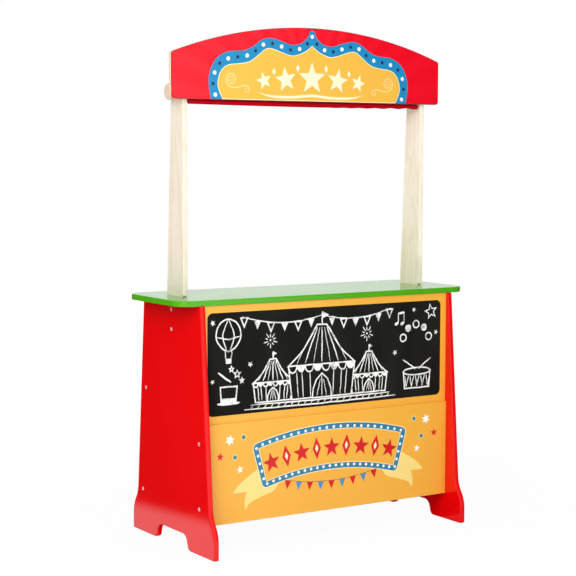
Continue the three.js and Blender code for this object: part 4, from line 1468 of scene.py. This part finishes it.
class STAND_OT_fasteners(bpy.types.Operator):
    """Screws with cross recesses and threads, cam fittings and dowels"""

    bl_idname = "stand.fasteners"
    bl_label = "Fasteners"

    def cross_tools(self, recess, height):
        """Two tapered blades, crossed, that press the driver's recess into a head at a height."""
        reach, width, depth = recess
        above, long_taper, thin_taper = 0.0004, 0.35, 0.5
        corners = ((-1, -1), (1, -1), (1, 1), (-1, 1))
        tools = []
        for across, other in ((reach, width), (width, reach)):
            bm = bmesh.new()
            low = [bm.verts.new((x * across * long_taper, y * other * thin_taper, depth)) for x, y in corners]
            high = [bm.verts.new((x * across, y * other, -above)) for x, y in corners]
            skin(bm, [low, high])
            bm.faces.new(low[::-1])
            bm.faces.new(high)
            bmesh.ops.recalc_face_normals(bm, faces=bm.faces)
            tools.append((bm, Matrix.Translation((0, 0, height))))
        return tools

    def threaded(self, head, long):
        """A screw along +Z: its head's profile, then a shank whose surface climbs in a helix, and a tip."""
        sides, per_pitch = 18, 8
        bm = bmesh.new()
        rings = [[bm.verts.new((*p, z)) for p in disc((0, 0), radius, sides)] for radius, z in head]
        start = head[-1][1]
        rows = int((long - start) / THREAD_PITCH * per_pitch)
        for row in range(1, rows):
            z = start + (long - start) * row / rows
            tip = min(1.0, (long - z) / TIP_LENGTH)
            ring = []
            for i, p in enumerate(disc((0, 0), 1.0, sides)):
                phase = (z / THREAD_PITCH - i / sides) % 1
                ridge = max(0.0, 1 - abs(phase - 0.5) * 4)
                radius = (CORE_RADIUS + (SHANK_RADIUS - CORE_RADIUS) * ridge) * tip
                ring.append(bm.verts.new((p.x * radius, p.y * radius, z)))
            rings.append(ring)
        skin(bm, rings)
        point = bm.verts.new((0, 0, long))
        for i in range(sides):
            bm.faces.new((rings[-1][i], rings[-1][(i + 1) % sides], point))
        bm.faces.new(rings[0][::-1])
        for face in bm.faces:
            face.smooth = len(face.verts) < 5
        bmesh.ops.recalc_face_normals(bm, faces=bm.faces)
        return bm

    def screw(self, node_name, head, long, place, recess):
        piece = make_piece(f"zinc_{node_name}", self.threaded(head, long), Matrix(), [zinc()])
        cut(piece, self.cross_tools(recess, head[0][1]))
        piece.data.transform(place)
        seat(piece, "stand", "zinc", node_name)

    def side_screw(self, name, sign):
        low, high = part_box(name)
        arris, plain_shank = 0.0001, 0.003
        dome = [(HEAD_RADIUS * share, HEAD_DOME * share ** 2) for share in (0.62, 0.75, 0.87, 0.96)]
        profile = [*dome, (HEAD_RADIUS, HEAD_DOME + arris), (SHANK_RADIUS, HEAD_DEPTH),
                   (SHANK_RADIUS, HEAD_DEPTH + plain_shank)]
        place = Matrix.Translation(side_face(name, sign, max)) @ facing((-sign, 0, 0))
        self.screw(name, profile, high.x - low.x, place, SIDE_RECESS)

    def pan_screw(self, name):
        low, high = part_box(name)
        head = middle(name)
        head.y = high.y
        radius, deep, plain_shank = (high.z - low.z) / 2, 0.0024, 0.012
        profile = [(radius * 0.55, 0), (radius * 0.86, 0.0005), (radius, 0.0013), (radius, deep),
                   (SHANK_RADIUS, deep), (SHANK_RADIUS, deep + plain_shank)]
        place = Matrix.Translation(head) @ facing((0, -1, 0))
        self.screw(name, profile, high.y - low.y, place, PAN_RECESS)

    def cam_lock(self, name, sign):
        low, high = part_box(name)
        radius, deep, dish, rim = (high.z - low.z) / 2, high.x - low.x, 0.0004, 0.0006
        profile = [(0, dish), (radius * 0.55, dish), (radius * 0.60, 0), (radius - rim, 0),
                   (radius, rim), (radius, deep), (0, deep)]
        place = Matrix.Translation(side_face(name, sign, min)) @ facing((sign, 0, 0))
        piece = make_piece(f"zinc_{name}", turned_mesh(profile, 56), Matrix(), [zinc()])
        cut(piece, self.cross_tools(CAM_RECESS, 0.0))
        piece.data.transform(place)
        bolt = name.replace("cam_lock", "cam_bolt")
        cut(piece, [bore(bolt, 2)])
        seat(piece, "stand", "zinc", name)
        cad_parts[bolt].data.materials.clear()
        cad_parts[bolt].data.materials.append(zinc())

    def dowel(self, name, axis):
        """A fluted dowel with chamfered ends."""
        low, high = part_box(name)
        half = (high[axis] - low[axis]) / 2
        radius = (high.y - low.y) / 2
        sides, chamfer, end_share, flute_depth = 48, 0.0008, 0.75, 0.05
        bm = bmesh.new()
        rings = []
        for share, z in ((end_share, -half), (1, chamfer - half), (1, half - chamfer), (end_share, half)):
            ring = []
            for i, p in enumerate(disc((0, 0), radius * share, sides)):
                flute = 1 - flute_depth * (i % 4 == 0)
                ring.append(bm.verts.new((p.x * flute, p.y * flute, z)))
            rings.append(ring)
        for face in skin(bm, rings):
            face.smooth = True
        bm.faces.new(rings[0][::-1])
        bm.faces.new(rings[-1])
        place = Matrix.Translation(middle(name)) @ facing(unit(axis))
        piece = make_piece(f"wooden_{name}", bm, place, [wood("XYZ"[axis])])
        seat(piece, "stand", "pale_wood", name)

    def execute(self, context):
        for side, sign in HANDS:
            for name in side_screws(side):
                self.side_screw(name, sign)
            for name in header_screws(side):
                self.pan_screw(name)
            for name in corner_fittings("cam_lock", side):
                self.cam_lock(name, sign)
            for name in corner_fittings("counter_dowel", side):
                self.dowel(name, 2)
            for name in shelf_dowels(side):
                self.dowel(name, 0)
        return {"FINISHED"}


class STAND_OT_stage(bpy.types.Operator):
    """Pale floor, soft studio light and the camera"""

    bl_idname = "stand.stage"
    bl_label = "Stage"

    def add_camera(self, light):
        data = bpy.data.cameras.new("camera")
        data.lens = light.lens
        camera = bpy.data.objects.new("camera", data)
        heading, tilt, roll = light.camera_turn
        turn = (Matrix.Rotation(heading, 4, "Z") @ Matrix.Rotation(math.pi / 2 + tilt, 4, "X")
                @ Matrix.Rotation(roll, 4, "Z"))
        camera.matrix_world = Matrix.Translation(light.camera_place) @ turn
        bpy.context.scene.collection.objects.link(camera)
        bpy.context.scene.camera = camera

    def add_lamp(self, name, place, size, power):
        """A square soft box that looks at the middle of the stand and leaves no reflection of itself."""
        target = Vector((0, 0, 0.5))
        data = bpy.data.lights.new(name, "AREA")
        data.shape = "SQUARE"
        data.size = size
        data.energy = power
        lamp = bpy.data.objects.new(name, data)
        look = (target - Vector(place)).to_track_quat("-Z", "Y").to_matrix().to_4x4()
        lamp.matrix_world = Matrix.Translation(place) @ look
        lamp.visible_glossy = False
        bpy.context.scene.collection.objects.link(lamp)

    def add_world(self, light):
        """White to the camera, even to surfaces, and dark at the left and the front right in the gloss."""
        world = bpy.data.worlds.new("studio")
        bpy.context.scene.world = world
        world.use_nodes = True
        tree = world.node_tree
        tree.nodes.clear()
        direction = node(tree, "ShaderNodeTexCoord").outputs["Generated"]
        parts = node(tree, "ShaderNodeSeparateXYZ", {"Vector": direction}).outputs
        left = between(tree, parts["X"], 0.02, 1.0, -0.25, 0.15)
        right = between(tree, parts["X"], 1.0, 0.05, 0.44, 0.58)
        behind = between(tree, parts["Y"], 0.0, 1.0, -0.2, 0.1)
        shine = calc(tree, "MULTIPLY", calc(tree, "MAXIMUM", right, behind), left)
        shine = calc(tree, "MAXIMUM", shine, self.window(tree, direction))
        soft, gloss, clear = (
            node(tree, "ShaderNodeBackground", {"Color": WHITE, "Strength": strength}).outputs[0]
            for strength in (light.ambient, shine, 1.0))
        rays = node(tree, "ShaderNodeLightPath").outputs
        seen = calc(tree, "MAXIMUM", rays["Is Camera Ray"], rays["Is Transmission Ray"])
        unseen = mixed_shader(tree, rays["Is Glossy Ray"], soft, gloss)
        output = node(tree, "ShaderNodeOutputWorld")
        tree.links.new(mixed_shader(tree, seen, unseen, clear), output.inputs["Surface"])

    def window(self, tree, direction):
        """A soft patch of light at the front left, which shows in rounded corners."""
        flat = node(tree, "ShaderNodeVectorMath", {0: direction}, operation="NORMALIZE").outputs["Vector"]
        ahead = node(tree, "ShaderNodeVectorMath", {0: flat, 1: (-0.78, -0.62, 0.0)}, operation="DOT_PRODUCT")
        return between(tree, ahead.outputs["Value"], 0.0, 1.0, 0.88, 0.97)

    def floor_material(self):
        """A white sweep that keeps the stand's shadow.

        In the gloss it glows as a painted reflection of the lit floor that ends at both sides, and it is dark
        under the stand as painted shade.
        """
        material = bpy.data.materials.new("floor")
        material.use_nodes = True
        tree = material.node_tree
        tree.nodes.clear()
        place = node(tree, "ShaderNodeTexCoord").outputs["Object"]
        distance = node(tree, "ShaderNodeVectorMath", {0: place}, operation="LENGTH").outputs["Value"]
        parts = node(tree, "ShaderNodeSeparateXYZ", {"Vector": place}).outputs
        across, ahead = parts["X"], parts["Y"]
        left = between(tree, calc(tree, "MULTIPLY_ADD", ahead, -0.2, across), 0.02, 1.0, -0.53, -0.47)
        right = between(tree, calc(tree, "MULTIPLY_ADD", ahead, 0.67, across), 1.0, 0.10, -0.45, 0.25)
        # Dark under the stand: painted shade in the floor's reflection
        behind = between(tree, ahead, 0.0, 1.0, -0.12, -0.10)
        before = calc(tree, "SUBTRACT", 1.0, behind)
        beside = between(tree, calc(tree, "ABSOLUTE", across), 0.0, 1.0, 0.30, 0.32)
        outer = between(tree, across, 1.0, 0.02, 0.38, 0.46)
        shine = calc(tree, "MULTIPLY", left, calc(tree, "MAXIMUM", right, behind))
        shine = calc(tree, "MULTIPLY", shine, calc(tree, "MAXIMUM", before, beside))
        shine = calc(tree, "MULTIPLY", shine, calc(tree, "MAXIMUM", outer, before))
        far = calc(tree, "MULTIPLY", between(tree, distance, 0.0, 1.0, 1.2, 3.0), self.window(tree, place))
        shine = calc(tree, "MAXIMUM", shine, far)
        rays = node(tree, "ShaderNodeLightPath").outputs
        pale = node(tree, "ShaderNodeBsdfDiffuse", {"Color": (0.9, 0.9, 0.9, 1)}).outputs[0]
        white, gloss = (node(tree, "ShaderNodeEmission", {"Color": WHITE, "Strength": strength}).outputs[0]
                        for strength in (1.0, shine))
        shown = mixed_shader(tree, between(tree, distance, 0.96, 1.0, 0.5, 1.6), pale, white)
        unseen = mixed_shader(tree, rays["Is Glossy Ray"], pale, gloss)
        output = node(tree, "ShaderNodeOutputMaterial")
        tree.links.new(mixed_shader(tree, rays["Is Camera Ray"], unseen, shown), output.inputs["Surface"])
        return material

    def execute(self, context):
        light = settings().light
        self.add_camera(light)
        self.add_world(light)
        self.add_lamp("key_box", (-1.6, -1.45, 1.5), 1.6, light.key)
        self.add_lamp("front_box", (0.8, -3.6, 1.7), 2.4, light.front)
        self.add_lamp("top_box", (0.2, -0.4, 3.0), 1.8, light.top)
        self.add_lamp("back_box", (0.5, 3.4, 1.2), 2.4, light.back)
        half_floor, drop = 20.0, 0.0005
        bm = bmesh.new()
        bmesh.ops.create_grid(bm, x_segments=1, y_segments=1, size=half_floor)
        floor = make_piece("floor", bm, Matrix.Translation((0, 0, -drop)), [self.floor_material()])
        bpy.context.scene.view_settings.view_transform = "Standard"
        return {"FINISHED"}


class StandSettings(bpy.types.PropertyGroup):
    """Everything that can be set about the stand."""

    boards: PointerProperty(type=StandBoards)
    paints: PointerProperty(type=StandPaints)
    prints: PointerProperty(type=StandPrints)
    curtain: PointerProperty(type=StandCurtain)
    light: PointerProperty(type=StandLight)


BUILDERS = (
    STAND_OT_stage,
    STAND_OT_side_boards,
    STAND_OT_counter,
    STAND_OT_lower_front,
    STAND_OT_chalkboard,
    STAND_OT_shelves,
    STAND_OT_posts,
    STAND_OT_header,
    STAND_OT_roller,
    STAND_OT_curtain,
    STAND_OT_fasteners,
)


class STAND_PT_build(bpy.types.Panel):
    """The builders of the stand, in the order in which they run"""

    bl_label = "Puppet Theater Stand"
    bl_idname = "STAND_PT_build"
    bl_space_type = "VIEW_3D"
    bl_region_type = "UI"
    bl_category = "Stand"

    def draw(self, context):
        for builder in BUILDERS:
            self.layout.operator(builder.bl_idname, text=builder.bl_label)


CLASSES = (StandBoards, StandPaints, StandPrints, StandCurtain, StandLight, StandSettings, *BUILDERS,
           STAND_PT_build)


def register():
    for cls in CLASSES:
        bpy.utils.register_class(cls)
    bpy.types.Scene.stand = PointerProperty(type=StandSettings)


def unregister():
    del bpy.types.Scene.stand
    for cls in reversed(CLASSES):
        bpy.utils.unregister_class(cls)


def main():
    register()
    bpy.ops.stand.stage()
    bpy.ops.stand.side_boards()
    bpy.ops.stand.counter()
    bpy.ops.stand.lower_front()
    bpy.ops.stand.chalkboard()
    bpy.ops.stand.shelves()
    bpy.ops.stand.posts()
    bpy.ops.stand.header()
    bpy.ops.stand.roller()
    bpy.ops.stand.curtain()
    bpy.ops.stand.fasteners()


if __name__ == "__main__":
    main()
